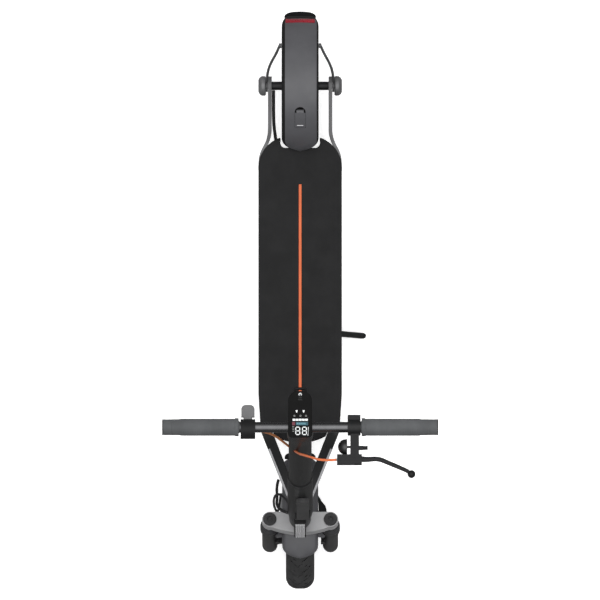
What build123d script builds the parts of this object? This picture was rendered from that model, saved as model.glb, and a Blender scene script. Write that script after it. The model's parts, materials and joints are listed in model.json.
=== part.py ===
from build123d import *
from math import atan2, cos, degrees, hypot, pi, radians, sin, sqrt, tan
import os

os.makedirs("parts", exist_ok=True)

# Electric kick scooter.  X forward, Y to the rider's left, Z up, millimetres.
# The origin is on the ground at the centre of the overall box.

# ---------------------------------------------------------------- driving dimensions
wheelbase = 935.0
wheel_radius = 127.0
tyre_width = 60.0
tail_overhang = 157.5        # rear axle to the tip of the mud flap
bar_width = 572.0
deck_width = 176.0
deck_floor = 96.0            # ground clearance under the deck
deck_top = 163.0             # top of the tray walls
lid_thickness = 5.0
mat_thickness = 3.5
head_angle = 13.0            # lean of the steering axis from upright
fork_spacing = 128.0         # between the two fork legs
bar_height = 1100.0          # along the steering axis, above the axle level
stem_radius = 24.0
bar_radius = 11.1
running = 0.05               # radial clearance of a shaft in its bore
seat_gap = 0.3               # gap between curved or loose neighbours

# ---------------------------------------------------------------- derived stations
front_x = (wheelbase + tail_overhang - wheel_radius) / 2
rear_x = front_x - wheelbase
axle_z = wheel_radius
head_x = front_x + 28.3      # where the steering axis passes the axle level
HEAD = Location((head_x, 0, axle_z), (0, -head_angle, 0))
BAR = HEAD * Pos(0, 0, bar_height)
half_fork = fork_spacing / 2
lid_z = deck_top
mat_z = lid_z + lid_thickness
deck_surface = mat_z + mat_thickness
half_deck = deck_width / 2
nose_x = front_x - 181.0     # front edge of the deck
tail_x = rear_x + 110.0      # rear edge of the deck
half_bar = bar_width / 2


# ---------------------------------------------------------------- helpers
def save(node, *shapes):
    """Write one node from the solids of the shapes."""
    solids = [solid for shape in shapes for solid in shape.solids()]
    whole = solids[0] if len(solids) == 1 else Compound(children=solids)
    export_step(whole, f"parts/{node}.step")


def rod(start, end, radius):
    """Round bar between two points."""
    along = Vector(*end) - Vector(*start)
    plane = Plane(origin=start, z_dir=along)
    return extrude(plane * Circle(radius), along.length)


def cross_rod(x, z, y0, y1, radius):
    """Round bar along Y."""
    return rod((x, min(y0, y1), z), (x, max(y0, y1), z), radius)


def cross_tube(x, z, y0, y1, outer, inner):
    return cross_rod(x, z, y0, y1, outer) - cross_rod(x, z, y0, y1, inner)


def up_rod(x, y, z0, z1, radius):
    return Pos(x, y, z0) * extrude(Circle(radius), z1 - z0)


def up_tube(x, y, z0, z1, outer, inner):
    return up_rod(x, y, z0, z1, outer) - up_rod(x, y, z0, z1, inner)


def block(x, y, z):
    """Box between the pairs of coordinates x, y and z."""
    size = Box(x[1] - x[0], y[1] - y[0], z[1] - z[0], align=Align.MIN)
    return Pos(x[0], y[0], z[0]) * size


def side_plate(points, y0, y1):
    """Polygon in X and Z, thick from y0 to y1."""
    face = make_face(Polyline(*points, close=True))
    return Pos(0, y1, 0) * extrude(Plane.XZ * face, y1 - y0)


def turned(points):
    """Solid of revolution about Y from (radius, y) corners."""
    return revolve(make_face(Polyline(*points, close=True)), Axis.Y)


def both_sides(shape):
    """The shape and its mirror image across the middle."""
    return [shape, mirror(shape, Plane.XZ)]


def sector(inner, outer, start, end, half_width, x, z):
    """Part of a ring about a cross axis at x and z, angles from +X towards +Z."""
    outside = CenterArc((0, 0), outer, start, end - start)
    inside = CenterArc((0, 0), inner, start, end - start)
    ends = [Line(outside @ 0, inside @ 0), Line(outside @ 1, inside @ 1)]
    face = make_face(Curve() + [outside, inside] + ends)
    return Pos(x, 0, z) * extrude(Plane.XZ * face, half_width, both=True)


def cable(points, diameter):
    """Round cable of straight runs joined by arcs as large as the runs allow."""
    points = [Vector(*point) for point in points]
    radii = []
    for before, corner, after in zip(points, points[1:], points[2:]):
        arriving = corner - before
        leaving = after - corner
        turn = arriving.get_angle(leaving)
        shorter = min(arriving.length, leaving.length)
        radii.append(0.45 * shorter / tan(radians(turn / 2)))
    route = FilletPolyline(*points, radius=radii)
    plane = Plane(origin=route @ 0, z_dir=route % 0)
    tube = sweep(plane * Circle(diameter / 2), path=route)
    share = tube.volume / (pi * diameter**2 / 4 * route.length)
    print("cable", round(route.length), "mm, radii", [round(r) for r in radii], round(share, 3))
    return tube


# ---------------------------------------------------------------- wheels
crown_half = 8.0             # flat of the tread
bead_radius = 76.0
bead_half = 23.0
tread_depth = 8.0


def make_tyre(x):
    """Pneumatic tyre with open beads, about the axle at x."""
    edges = []
    half = tyre_width / 2
    for s in (1, -1):
        edges += [
            Line((wheel_radius, 0), (wheel_radius, s * crown_half)),
            ThreePointArc(
                (wheel_radius, s * crown_half),
                (wheel_radius - 7.4, s * (half - 6.8)),
                (wheel_radius - 23, s * half),
            ),
            ThreePointArc((wheel_radius - 23, s * half), (93.5, s * (half - 1.4)), (84, s * bead_half)),
            Line((84, s * bead_half), (bead_radius + seat_gap, s * bead_half)),
            Line((bead_radius + seat_gap, s * bead_half), (bead_radius + seat_gap, s * (bead_half - 5))),
            Line((bead_radius + seat_gap, s * (bead_half - 5)), (84, s * (bead_half - 5))),
            ThreePointArc(
                (84, s * (bead_half - 5)),
                (93.5, s * (half - 6.5)),
                (wheel_radius - 23, s * (half - 5)),
            ),
            ThreePointArc(
                (wheel_radius - 23, s * (half - 5)),
                (wheel_radius - tread_depth - 4, s * 16),
                (wheel_radius - tread_depth, 0),
            ),
        ]
    return Pos(x, 0, axle_z) * revolve(make_face(Curve() + edges), Axis.Y)


rim_well = 68.0
rim_inner = 63.0
flange_radius = 83.5
flange_half = 26.0
hub_radius = 43.0
drum_radius = 38.0
drum_open = -32.0
drum_floor = -8.0
axle_radius = 6.0
bearing_radius = 16.0
bearings_y = [(-6.0, 4.0), (16.0, 26.0)]


def make_front_rim():
    """Cast five-spoke rim with the brake drum in its hub."""
    rim_half = [(rim_well, 12), (bead_radius, 14), (bead_radius, 23.2), (flange_radius, 23.2)]
    rim_half += [(flange_radius, flange_half), (72, flange_half), (rim_inner, 15)]
    rim = turned(rim_half + [(r, -y) for r, y in reversed(rim_half)])
    hub = turned([(0, drum_open), (hub_radius, drum_open), (hub_radius, -4), (24, 26), (0, 26)])
    spoke = block((hub_radius - 6, rim_inner + 2), (-9, 9), (-6.5, 6.5))
    spoke -= Pos(hub_radius + 11, 0, 0) * Cylinder(4, 40)
    for n in range(5):
        hub += Rot(0, 72 * n + 18, 0) * spoke
    rim += hub
    rim -= cross_rod(0, 0, drum_open, drum_floor, drum_radius)
    rim -= cross_rod(0, 0, drum_floor, 26, 12)
    for low, high in bearings_y:
        rim -= cross_rod(0, 0, low, high, bearing_radius)
    rim -= cross_rod(0, 0, drum_floor, bearings_y[0][0], bearing_radius)
    return Pos(front_x, 0, axle_z) * rim


save("front_tyre", make_tyre(front_x))
save("rear_tyre", make_tyre(rear_x))
save("front_rim", make_front_rim())
save(
    "front_bearings",
    *[cross_tube(front_x, axle_z, a, b, bearing_radius - 0.02, axle_radius + running) for a, b in bearings_y],
)

# Hub motor: a hollow shell that carries the tyre turns round the fixed stator.
motor_half = 33.0
motor_cavity = 62.0
stub_radius = 9.0
arm_inner = 60.0
arm_thickness = 8.0
arm_outer = arm_inner + arm_thickness
shell_half = [(motor_cavity, 0), (rim_well, 0), (rim_well, 12), (bead_radius, 14), (bead_radius, 23.2)]
shell_half += [(flange_radius, 23.2), (flange_radius, flange_half), (72, flange_half), (64, 30)]
shell_half += [(30, motor_half), (stub_radius + running, motor_half)]
shell_half += [(stub_radius + running, 22), (motor_cavity, 22)]
shell = turned(shell_half)
shell += mirror(shell, Plane.XZ)
magnets = turned([(58.5, -15), (motor_cavity - 0.1, -15), (motor_cavity - 0.1, 15), (58.5, 15)])
save("motor_shell", Pos(rear_x, 0, axle_z) * shell, Pos(rear_x, 0, axle_z) * magnets)

stator = turned([(0, -15), (57.5, -15), (57.5, 15), (0, 15)])
for n in range(18):
    stator -= Rot(0, 20 * n, 0) * block((42, 60), (-16, 16), (-2, 2))
stator += cross_rod(0, 0, -arm_inner, arm_inner, stub_radius)
stator += cross_rod(0, 0, -78, 78, axle_radius)
save("motor_stator", Pos(rear_x, 0, axle_z) * stator)

# ---------------------------------------------------------------- deck
arm_slope = 22.0             # the front arms spread by this from the middle, in plan
arm_width = 22.0
arm_root_x = front_x - 96.4
arm_root_y = 26.9
arm_dir = (-cos(radians(arm_slope)), sin(radians(arm_slope)))


def arm_inner_y(x):
    """Distance from the middle to a front arm's inner face at x."""
    run = (arm_root_x - x) / cos(radians(arm_slope))
    return arm_root_y + run * sin(radians(arm_slope)) - arm_width / 2 / cos(radians(arm_slope))


def deck_outline(neck_cut):
    """Plan of the deck; with neck_cut the outline leaves room for the arms' necks."""
    shoulder_x = nose_x - 14
    shoulder_y = arm_inner_y(shoulder_x) - 0.8
    neck_x = nose_x - 39
    flare_x = nose_x - 102
    edges = [ThreePointArc((shoulder_x, shoulder_y), (nose_x, 0), (shoulder_x, -shoulder_y))]
    for s in (1, -1):
        if neck_cut:
            corners = [
                (shoulder_x, s * shoulder_y),
                (neck_x, s * (arm_inner_y(neck_x) - 0.8)),
                (neck_x, s * (half_deck - 4.7)),
                (flare_x, s * half_deck),
            ]
        else:
            side_x = flare_x + 8
            corners = [
                (shoulder_x, s * shoulder_y),
                (side_x, s * (arm_inner_y(side_x) - 0.8)),
                (flare_x, s * half_deck),
            ]
        corners.append((tail_x + 72, s * half_deck))
        edges.append(Polyline(*corners))
        edges.append(ThreePointArc((tail_x + 72, s * half_deck), (tail_x + 22, s * 74), (tail_x, s * 44)))
    edges.append(Line((tail_x, 44), (tail_x, -44)))
    return make_face(Curve() + edges)


notch_half = 41.3            # beside the fender; the notch closes to the tyre under it
notch_front = rear_x + 131.0
notch_shoulder = rear_x + 117.0
notch_nose = tyre_width / 2 + 3
notch_edges = [Polyline((notch_shoulder, notch_half), (tail_x - 5, notch_half), (tail_x - 5, -notch_half),
                        (notch_shoulder, -notch_half))]
notch_edges += [
    ThreePointArc((notch_shoulder, s * notch_half), (rear_x + 127.5, s * 39), (notch_front, s * notch_nose))
    for s in (1, -1)
]
notch_edges += [Line((notch_front, notch_nose), (notch_front, -notch_nose))]
wheel_notch = extrude(make_face(Curve() + notch_edges), 300)
inlay_half = 2.95
inlay_x = (rear_x + 208, front_x - 230)


def make_tray():
    outline = deck_outline(False)
    tray = Pos(0, 0, deck_floor) * extrude(outline, deck_top - deck_floor)
    tray -= wheel_notch
    wall = 4.0
    narrow = half_deck - arm_thickness - wall - 1
    pocket = block((rear_x + 150, nose_x - 70), (-narrow, narrow), (deck_floor + wall, 400))
    wide = half_deck - wall
    pocket += block((rear_x + 242, nose_x - 112), (-wide, wide), (deck_floor + wall, 400))
    pocket += block((nose_x - 72, nose_x - 22), (-44, 44), (deck_floor + wall, 400))
    tray -= pocket
    for y0, y1 in ((half_deck - arm_thickness - seat_gap, 200), (-200, -half_deck + arm_thickness + seat_gap)):
        tray -= block((tail_x - 5, rear_x + 235), (y0, y1), (0, 400))
    for s in (1, -1):
        corner = [(tail_x - 5, s * 56), (tail_x + 8, s * 56), (tail_x + 36, s * 72), (tail_x + 84, s * 79.5)]
        corner += [(tail_x + 84, s * 120), (tail_x - 5, s * 120)]
        tray -= extrude(make_face(Polyline(*corner, close=True)), 300)
    return tray - block((tail_x - 5, tail_x + 7), (-200, 200), (0, 300))


port_x = front_x - 330.0
port_z = 130.0
port_radius = 9.0
port_bore = 5.5
screw_rows = [(rear_x + 180 + 110 * n, s * 62) for n in range(5) for s in (1, -1)]

tray = make_tray()
tray -= cross_rod(port_x, port_z, -half_deck - 1, -60, port_radius + 0.1)
for x, y in screw_rows:
    tray -= up_rod(x, y, deck_floor - 1, deck_floor + 2, 4.1)
    tray -= up_rod(x, y, deck_floor, deck_floor + 6, 2.1)
tray -= rod((tail_x, -50.5, 128), (rear_x + 152, -50.5, 128), 4.4)
save("deck_tray", tray)
save(
    "deck_screws",
    *[
        up_rod(x, y, deck_floor, deck_floor + 2, 4) + up_rod(x, y, deck_floor + 2, deck_floor + 3.9, 2)
        - Pos(x, y, deck_floor) * extrude(RegularPolygon(2, 6), 1.4)
        for x, y in screw_rows
    ],
)

lid = Pos(0, 0, lid_z) * extrude(deck_outline(True), lid_thickness) - wheel_notch
save("deck_plate", lid)
mat_outline = offset(deck_outline(True), -1.2, kind=Kind.INTERSECTION)
mat = Pos(0, 0, mat_z) * extrude(mat_outline, mat_thickness) - wheel_notch
mat -= block((inlay_x[0] - 0.1, inlay_x[1] + 0.1), (-inlay_half - 0.1, inlay_half + 0.1), (0, 300))
save("deck_mat", mat)
inlay = block(inlay_x, (-inlay_half, inlay_half), (mat_z, deck_surface + 0.3))
save("deck_inlay", inlay)

battery_x = (rear_x + 158, nose_x - 160)
save("battery_pack", block(battery_x, (-66, 66), (deck_floor + 4, deck_top - 8)))
controller = block((nose_x - 150, nose_x - 76), (-45, 45), (deck_floor + 4, deck_floor + 40))
for n in range(6):
    controller -= block((nose_x - 145 + 12 * n, nose_x - 139 + 12 * n), (-40, 40), (deck_floor + 34, 300))
save("controller", controller)
port = cross_rod(port_x, port_z, -half_deck, -74, port_radius)
port -= cross_rod(port_x, port_z, -half_deck, -half_deck + 12, port_bore)
save("charge_port", port)


# ---------------------------------------------------------------- front arms
def make_front_arm():
    """Left arm: a flat swan-neck bar standing in a plane that spreads from the head tube."""

    def at(x_from_axle, z):
        return ((-96.4 - x_from_axle) / cos(radians(arm_slope)), z)

    lower = [at(-47, 347), at(-80, 341), at(-106, 327), at(-132, 302), at(-152, 266), at(-162, 220)]
    lower += [at(-167, 175), at(-176, 128), at(-190, 104)]
    upper = [at(-50, 401.5), at(-78, 397), at(-112, 385), at(-150, 358), at(-180, 325), at(-197, 285)]
    upper += [at(-204, 240), at(-208, 200), at(-215, deck_top - seat_gap)]
    heel = at(-277, deck_top - seat_gap)
    toe = at(-277, 104)
    edges = [Spline(*lower), Spline(*upper), Line(lower[0], upper[0])]
    edges += [Polyline(upper[-1], heel, toe, lower[-1])]
    plane = Plane(
        origin=(arm_root_x, arm_root_y, 0),
        x_dir=(arm_dir[0], arm_dir[1], 0),
        z_dir=(arm_dir[1], -arm_dir[0], 0),
    )
    arm = extrude(plane * make_face(Curve() + edges), arm_width / 2, both=True)
    side = [(nose_x - 26, half_deck - 4.7), (nose_x - 102, half_deck)]
    side += [(nose_x - 102, 200), (nose_x - 26, 200)]
    arm -= extrude(make_face(Polyline(*side, close=True)), 300)
    arm -= HEAD * up_rod(0, 0, 200, 320, head_radius + seat_gap / 2)
    arm -= block((front_x - 400, front_x + 10), (-60, seat_gap / 2), (300, 500))
    return arm


head_radius = 23.0
steerer_radius = 14.0
head_low = 229.0
head_high = 287.0
race_height = 10.0
race_outer = 18.5
left_arm = make_front_arm()
save("front_arm_left", left_arm)
save("front_arm_right", mirror(left_arm, Plane.XZ))
head = up_rod(0, 0, head_low, head_high, head_radius) - up_rod(0, 0, head_low, head_high, steerer_radius + 2)
for z in (head_low, head_high - race_height):
    head -= up_rod(0, 0, z, z + race_height, race_outer)
save("head_tube", HEAD * head)
races = [
    up_tube(0, 0, z, z + race_height, race_outer - 0.02, steerer_radius + running)
    for z in (head_low, head_high - race_height)
]
save("headset_bearings", *[HEAD * race for race in races])


# ---------------------------------------------------------------- rear arms, stays, axle caps
def make_rear_arm():
    """Left plate from the deck's side to the rear axle."""
    start = (rear_x + 91, arm_outer)
    middle = (rear_x + 128, (arm_outer + half_deck) / 2)
    end = (rear_x + 165, half_deck)
    curve = [
        Line((rear_x - 22, arm_outer), start),
        TangentArc(start, middle, tangent=(1, 0)),
        TangentArc(end, middle, tangent=(-1, 0)),
        Line(end, (rear_x + 234.7, half_deck)),
    ]
    inner = [Pos(0, -arm_thickness, 0) * edge for edge in curve]
    ends = [
        Line((rear_x - 22, arm_outer), (rear_x - 22, arm_inner)),
        Line((rear_x + 234.7, half_deck), (rear_x + 234.7, half_deck - arm_thickness)),
    ]
    plate = Pos(0, 0, 100) * extrude(make_face(Curve() + curve + inner + ends), 70)
    web = [(0, 20), (80, 24), (120, 35.7), (240, 35.7), (240, -23), (120, -23), (80, -19), (0, -20)]
    web = side_plate([(rear_x + x, axle_z + z) for x, z in web], 40, 100)
    web += cross_rod(rear_x, axle_z, 40, 100, 20)
    plate = plate & web
    return plate - cross_rod(rear_x, axle_z, 50, 90, axle_radius + running)


rear_arm = make_rear_arm()
save("rear_arm_left", rear_arm)
save("rear_arm_right", mirror(rear_arm, Plane.XZ))

cap_radius = 20.7
cap_face = arm_outer + 4.3
cap_end = 88.3
cap = turned(
    [(axle_radius + running, cap_face), (cap_radius - 2, cap_face), (cap_radius, cap_face + 2)]
    + [(cap_radius, cap_end - 7), (17.5, cap_end - 2.5), (12.5, cap_end), (0, cap_end), (0, 80)]
    + [(axle_radius + running, 80)]
)
save("axle_caps", *both_sides(Pos(rear_x, 0, axle_z) * cap))

fender_inner = 145.0
fender_outer = 148.0
fender_half = 39.0
stay_end = (rear_x - 84, fender_half + 4.0, axle_z + 104)
eye = cross_tube(rear_x, axle_z, arm_outer + 0.2, cap_face - 0.1, 13, axle_radius + 0.2)
stay_route = [(rear_x - 8, 70.4, axle_z + 9), (rear_x - 27, 69.6, axle_z + 30)]
stay_route += [(rear_x - 48, 62, axle_z + 60), (rear_x - 68, 50, axle_z + 84), stay_end]
stay = cable(stay_route, 4.0) + eye
stay += rod((stay_end[0], fender_half + 0.1, stay_end[2]), (stay_end[0], fender_half + 6, stay_end[2]), 5)
save("fender_stays", *both_sides(stay))

# ---------------------------------------------------------------- rear fender, tail light, catch
fender_front = degrees(atan2(sqrt(fender_outer**2 - 138.5**2), 138.5))
fender = sector(130, fender_outer, fender_front, 184, fender_half, rear_x, axle_z)
fender -= sector(120, fender_inner, fender_front - 5, 190, fender_half - 3, rear_x, axle_z)
foot = block((rear_x + 131.5, rear_x + 138.3), (-25, 25), (deck_surface + seat_gap, axle_z + 60))
fender += foot & cross_rod(rear_x, axle_z, -30, 30, fender_inner + 1)
flap = [(-146.5, 30), (-tail_overhang, -32), (-tail_overhang + 4, -33), (-143, 26)]
fender += side_plate([(rear_x + x, axle_z + z) for x, z in flap], -29, 29)

light_angles = (152.5, 160.0)
light_half = 31.0
light = sector(fender_inner + 1, fender_outer + 1, *light_angles, light_half, rear_x, axle_z)
recess = sector(fender_inner + 0.9, fender_outer + 5, light_angles[0] - 0.1, light_angles[1] + 0.1,
                light_half + 0.1, rear_x, axle_z)
fender -= recess
save("tail_light", light)

catch_half = 11.5
catch_x = (49.0, 89.0)
window = block(
    (rear_x + catch_x[0], rear_x + catch_x[1]), (-catch_half, catch_half), (axle_z + 90, axle_z + 200)
)
fender -= window
hinge_x = rear_x + catch_x[0] + 5
hinge_z = axle_z + sqrt((fender_inner - 3) ** 2 - (catch_x[0] + 5) ** 2)
for s in (1, -1):
    lug = cross_rod(hinge_x, hinge_z, s * 8.2, s * (catch_half + 3), 3.5)
    lug += block((hinge_x - 3.5, hinge_x + 3.5), sorted((s * (catch_half + 0.1), s * (catch_half + 3))),
                 (hinge_z, hinge_z + 4))
    fender += lug
fender += cross_rod(hinge_x, hinge_z, -9, 9, 1.5)
save("rear_fender", fender)

hook_plate = sector(fender_inner, fender_outer, 40, 85, catch_half - 0.5, rear_x, axle_z)
hook_plate = hook_plate & block(
    (rear_x + catch_x[0] + 9, rear_x + catch_x[1] - 0.5),
    (-catch_half, catch_half),
    (axle_z + 90, axle_z + 200),
)
knuckle = cross_rod(hinge_x, hinge_z, -7.8, 7.8, 3.4)
knuckle += side_plate([(hinge_x, hinge_z + 3.4), (hinge_x + 6, hinge_z + 3), (hinge_x + 6, hinge_z - 1.5),
                       (hinge_x, hinge_z - 3.4)], -7.8, 7.8)
hook_plate += knuckle
hook_plate -= cross_rod(hinge_x, hinge_z, -20, 20, 1.5 + running)
save("fender_hook", hook_plate)

cable_y = -(arm_inner - 3.8)
motor_route = [(rear_x + stub_radius + 1, cable_y, axle_z + 2), (rear_x + 34, cable_y, axle_z + 7)]
motor_route += [(rear_x + 62, cable_y, axle_z + 5), (rear_x + 90, cable_y + 1, axle_z - 1)]
motor_route += [(tail_x + 8.5, -50.5, 128)]
save("motor_cable", cable(motor_route, 7.0))

# ---------------------------------------------------------------- kickstand
stand_pivot = Vector(front_x - 412, 76, 82)
stand_foot = Vector(front_x - 407, 132, 0)
stand_dir = (stand_foot - stand_pivot).normalized()
stand_axis = stand_dir.cross(Vector(-1, 0, 0)).normalized()


def along_stand(distance):
    return tuple(stand_pivot + stand_axis * distance)


leg = rod(along_stand(-7), along_stand(7), 9.5)
leg += rod(tuple(stand_pivot), tuple(stand_foot + stand_dir * 12), 6.4)
leg -= rod(along_stand(-10), along_stand(10), 4 + running)
leg -= block((0, 200), (0, 300), (-60, 0))
save("kickstand_leg", leg)

bracket = block((front_x - 427, front_x - 397), (42, 78), (70, deck_floor))
cutter = Plane(origin=along_stand(-7.4), z_dir=stand_axis) * Circle(80)
bracket -= extrude(cutter, 90)
bracket += rod(along_stand(-12), along_stand(7.5), 4)
bracket += rod(along_stand(7.4), along_stand(10), 7)
save("kickstand_bracket", bracket)

# ---------------------------------------------------------------- fork
crown_low = 190.0
crown_high = 220.7
stanchion_radius = 13.0
slider_radius = 16.25
slider_low = -33.0
collar_low = 129.0
collar_high = 155.0
collar_radius = 20.0
leg_end_radius = 16.3
axle_lx = -28.3 * cos(radians(head_angle))
axle_t = 28.3 * sin(radians(head_angle))

crown_edges = [
    ThreePointArc((15, -half_fork), (27.6, 0), (15, half_fork)),
    Line((15, half_fork), (-leg_end_radius, half_fork)),
    Line((-leg_end_radius, half_fork), (-leg_end_radius, -half_fork)),
    Line((-leg_end_radius, -half_fork), (15, -half_fork)),
]
crown = Pos(0, 0, crown_low) * extrude(make_face(Curve() + crown_edges), crown_high - crown_low)
for s in (1, -1):
    crown += up_rod(0, s * half_fork, crown_low, crown_high, leg_end_radius)
for s in (1, -1):
    crown -= up_rod(0, s * half_fork, crown_low, crown_high, stanchion_radius + running)
crown += up_rod(0, 0, crown_high, head_low - 0.5, 20)
base_low = 288.0
base_high = 312.0
crown += up_rod(0, 0, crown_high, base_high - 1, steerer_radius)
crown -= up_rod(0, 0, crown_low - 1, base_high, 10)
save("crown", HEAD * crown)

spring_seat = 100.0
stanchions = []
for s in (1, -1):
    tube = up_tube(0, s * half_fork, 20, crown_high, stanchion_radius, 10.4)
    stanchions.append(tube + up_rod(0, s * half_fork, spring_seat, spring_seat + 8, 11))
save("stanchions", *[HEAD * tube for tube in stanchions])

caps = []
for s in (1, -1):
    cap = up_rod(0, s * half_fork, crown_high, crown_high + 3.8, 14.2)
    cap += up_rod(0, s * half_fork, crown_high - 14, crown_high, 10.3)
    cap -= Pos(0, s * half_fork, crown_high) * extrude(RegularPolygon(6, 6), 10)
    caps.append(HEAD * cap)
save("fork_caps", *caps)

springs = []
turns = 9
spring_low = slider_low + 6 + 1.6
spring_high = spring_seat - 1.6
for s in (1, -1):
    helix = Helix((spring_high - spring_low) / turns, spring_high - spring_low, 8.5)
    wire = sweep(Plane(origin=helix @ 0, z_dir=helix % 0) * Circle(1.5), path=helix, is_frenet=True)
    springs.append(HEAD * Pos(0, s * half_fork, spring_low) * wire)
save("fork_springs", *springs)

sliders = []
for s in (1, -1):
    y = s * half_fork
    leg = up_rod(0, y, slider_low, collar_low, slider_radius)
    leg = fillet(leg.edges().filter_by(GeomType.CIRCLE).sort_by(Axis.Z)[0], 6)
    leg += up_rod(0, y, collar_low, collar_high, collar_radius)
    inner, outer = sorted((s * 52, s * 64))
    leg += block((axle_lx, 0), (inner, outer), (axle_t - 14, axle_t + 14))
    leg += cross_rod(axle_lx, axle_t, inner, outer, 14)
    near, far = sorted((s * 43.8, s * 52))
    leg += block((-2, 12), (near, far), (30, 52))
    leg -= up_rod(0, y, slider_low + 6, collar_high, stanchion_radius + running)
    leg -= cross_rod(axle_lx, axle_t, inner - 1, outer + 1, axle_radius + running)
    sliders.append(HEAD * leg)
save("fork_sliders", *sliders)

axle = cross_rod(front_x, axle_z, -76, 76, axle_radius)
nuts = []
for s in (1, -1):
    nut = Pos(front_x, s * 64.1, axle_z) * extrude(Plane.XZ * RegularPolygon(9.5, 6), -s * 8)
    nuts.append(nut - cross_rod(front_x, axle_z, -80, 80, axle_radius + running))
spacer = cross_tube(front_x, axle_z, 26.2, 51.8, 9, axle_radius + running)
save("front_axle", axle, *nuts, spacer)

# Front fender: an arched shell with braces to both fork collars.
front_fender_outer = 150.0
front_fender_half = 38.0
lip_angle = degrees(atan2(sqrt(front_fender_outer**2 - 62**2), 62))
guard = sector(126, front_fender_outer, lip_angle, 172, front_fender_half, front_x, axle_z)
guard -= sector(110, front_fender_outer - 3, lip_angle - 5, 190, front_fender_half - 3, front_x, axle_z)
guard -= sector(110, 136, lip_angle - 5, 92, 60, front_x, axle_z)
flap = [(-148, 21), (-161, -19), (-158, -20), (-145, 20)]
guard += side_plate([(front_x + x, axle_z + z) for x, z in flap], -30, 30)
brace_plan = [(-18, front_fender_half - 1), (-18, 52), (18, 52), (18, front_fender_half - 1)]
wing_plan = [(-83, front_fender_half - 1), (-70, front_fender_half), (-56, 46), (-47.5, 53), (-40, 55.5)]
wing_plan += [(-17, 57), (-10, 40)]
brace = Pos(0, 0, 136) * extrude(make_face(Polyline(*brace_plan, close=True)), 5)
wing = Pos(0, 0, 136) * extrude(make_face(Polyline(*wing_plan, close=True)), 5)
for piece in (brace, wing, mirror(brace, Plane.XZ)):
    for s in (1, -1):
        piece -= up_rod(0, s * half_fork, 100, 180, collar_radius + 0.2)
    guard += HEAD * piece
save("front_fender", guard)

# Drum brake on the right of the front wheel.
plate = turned([(axle_radius + running, -36), (40, -36), (40, -32.6), (axle_radius + running, -32.6)])
plate += turned([(axle_radius + running, -51.7), (12, -51.7), (12, -36), (axle_radius + running, -36)])
plate = Pos(front_x, 0, axle_z) * plate
cam = (-47.0, 26.0)
torque_arm = [(axle_lx - 5, 20), (-2, 32), (12, 32), (12, 50), (-2, 50), (axle_lx - 12, 36)]
plate += HEAD * side_plate(torque_arm, -36, -33)
plate += HEAD * block((-2, 12), (-43.8, -33), (34, 48))
plate -= HEAD * cross_rod(cam[0], cam[1], -50, -20, 5 + running)
save("brake_plate", plate)
shoes = []
for start in (-165, 15):
    shoe = sector(31, 37.4, start + 8, start + 142, 9, 0, 0)
    shoes.append(Pos(front_x, -20, axle_z) * shoe)
save("brake_shoes", *shoes)
arm_end = (-92.0, 38.0)
brake_arm = side_plate([(cam[0], cam[1] + 7), (arm_end[0], arm_end[1] + 5), (arm_end[0], arm_end[1] - 5),
                        (cam[0], cam[1] - 7)], -42, -37)
brake_arm += cross_rod(cam[0], cam[1], -43, -37, 8)
brake_arm += cross_rod(arm_end[0], arm_end[1], -42, -37, 5)
brake_arm += cross_rod(cam[0], cam[1], -37, -30, 5)
brake_arm -= cross_rod(arm_end[0], arm_end[1], -50, -30, 2.8)
save("brake_arm", HEAD * brake_arm)

# ---------------------------------------------------------------- headlight
light_low = crown_high
light_high = 350.0
lamp = block((27.2, 38.5), (-12.3, 12.3), (light_low, light_high))
lamp += block((20.3, 30), (-10, 10), (light_low, 228.3))
lamp -= block((35, 40), (-10.5, 10.5), (light_low + 6, light_high - 6))
save("headlight_housing", HEAD * lamp)
lens = block((36, 41.5), (-10.2, 10.2), (light_low + 6.3, light_high - 6.3))
for n in range(4):
    lens -= up_rod(42, -7.5 + 5 * n, light_low, light_high, 1.2)
save("headlight_lens", HEAD * lens)

# ---------------------------------------------------------------- folding joint
fold_lx = -30.0
fold_t = 308.0
ear_inner = 13.2
ear_outer = 21.0
base = up_rod(0, 0, base_low, base_high, 25)
base -= up_rod(0, 0, base_low, base_high, steerer_radius + running)
for s in (1, -1):
    near, far = sorted((s * ear_inner, s * ear_outer))
    base += block((fold_lx, -14), (near, far), (fold_t - 8, base_high))
    base += cross_rod(fold_lx, fold_t, near, far, 8)
base -= cross_rod(fold_lx, fold_t, -ear_inner, ear_inner, 8.6)
base -= cross_rod(fold_lx, fold_t, -30, 30, 4 + running)
pin = cross_rod(fold_lx, fold_t, -ear_outer - 0.3, ear_outer + 0.3, 4)
for s in (1, -1):
    pin += cross_rod(fold_lx, fold_t, s * (ear_outer + 0.2), s * (ear_outer + 2.6), 6)
save("fold_base", HEAD * base, HEAD * pin)

stem_low = 312.5
socket_high = 640.0
socket_floor = 560.0
casting = up_rod(0, 0, stem_low, socket_high, 26.5)
casting += side_plate([(fold_lx - 7.8, fold_t), (fold_lx - 7.8, fold_t + 14), (-20, fold_t + 30), (-20, fold_t + 5),
                       (fold_lx + 6, fold_t + 5), (fold_lx, fold_t)], -ear_inner + 0.4, ear_inner - 0.4)
casting += cross_rod(fold_lx, fold_t, -ear_inner + 0.4, ear_inner - 0.4, 7.8)
casting -= cross_rod(fold_lx, fold_t, -30, 30, 4 + running)
for s in (1, -1):
    near, far = sorted((s * ear_inner, s * 30))
    casting -= cross_rod(fold_lx, fold_t, near, far, 9)
casting -= up_rod(0, 0, socket_floor, socket_high, stem_radius + running)
casting -= up_rod(0, 0, stem_low, socket_floor, 16)
lever_t = 386.0
lever_lx = 32.0
latch_pin = 2.5
for y0, y1 in ((-10.5, -7.8), (18.8, 21.5)):
    casting += block((18, 37), (y0, y1), (lever_t - 6, lever_t + 6))
casting += cross_rod(lever_lx, lever_t, -9, 20, latch_pin)
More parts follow.
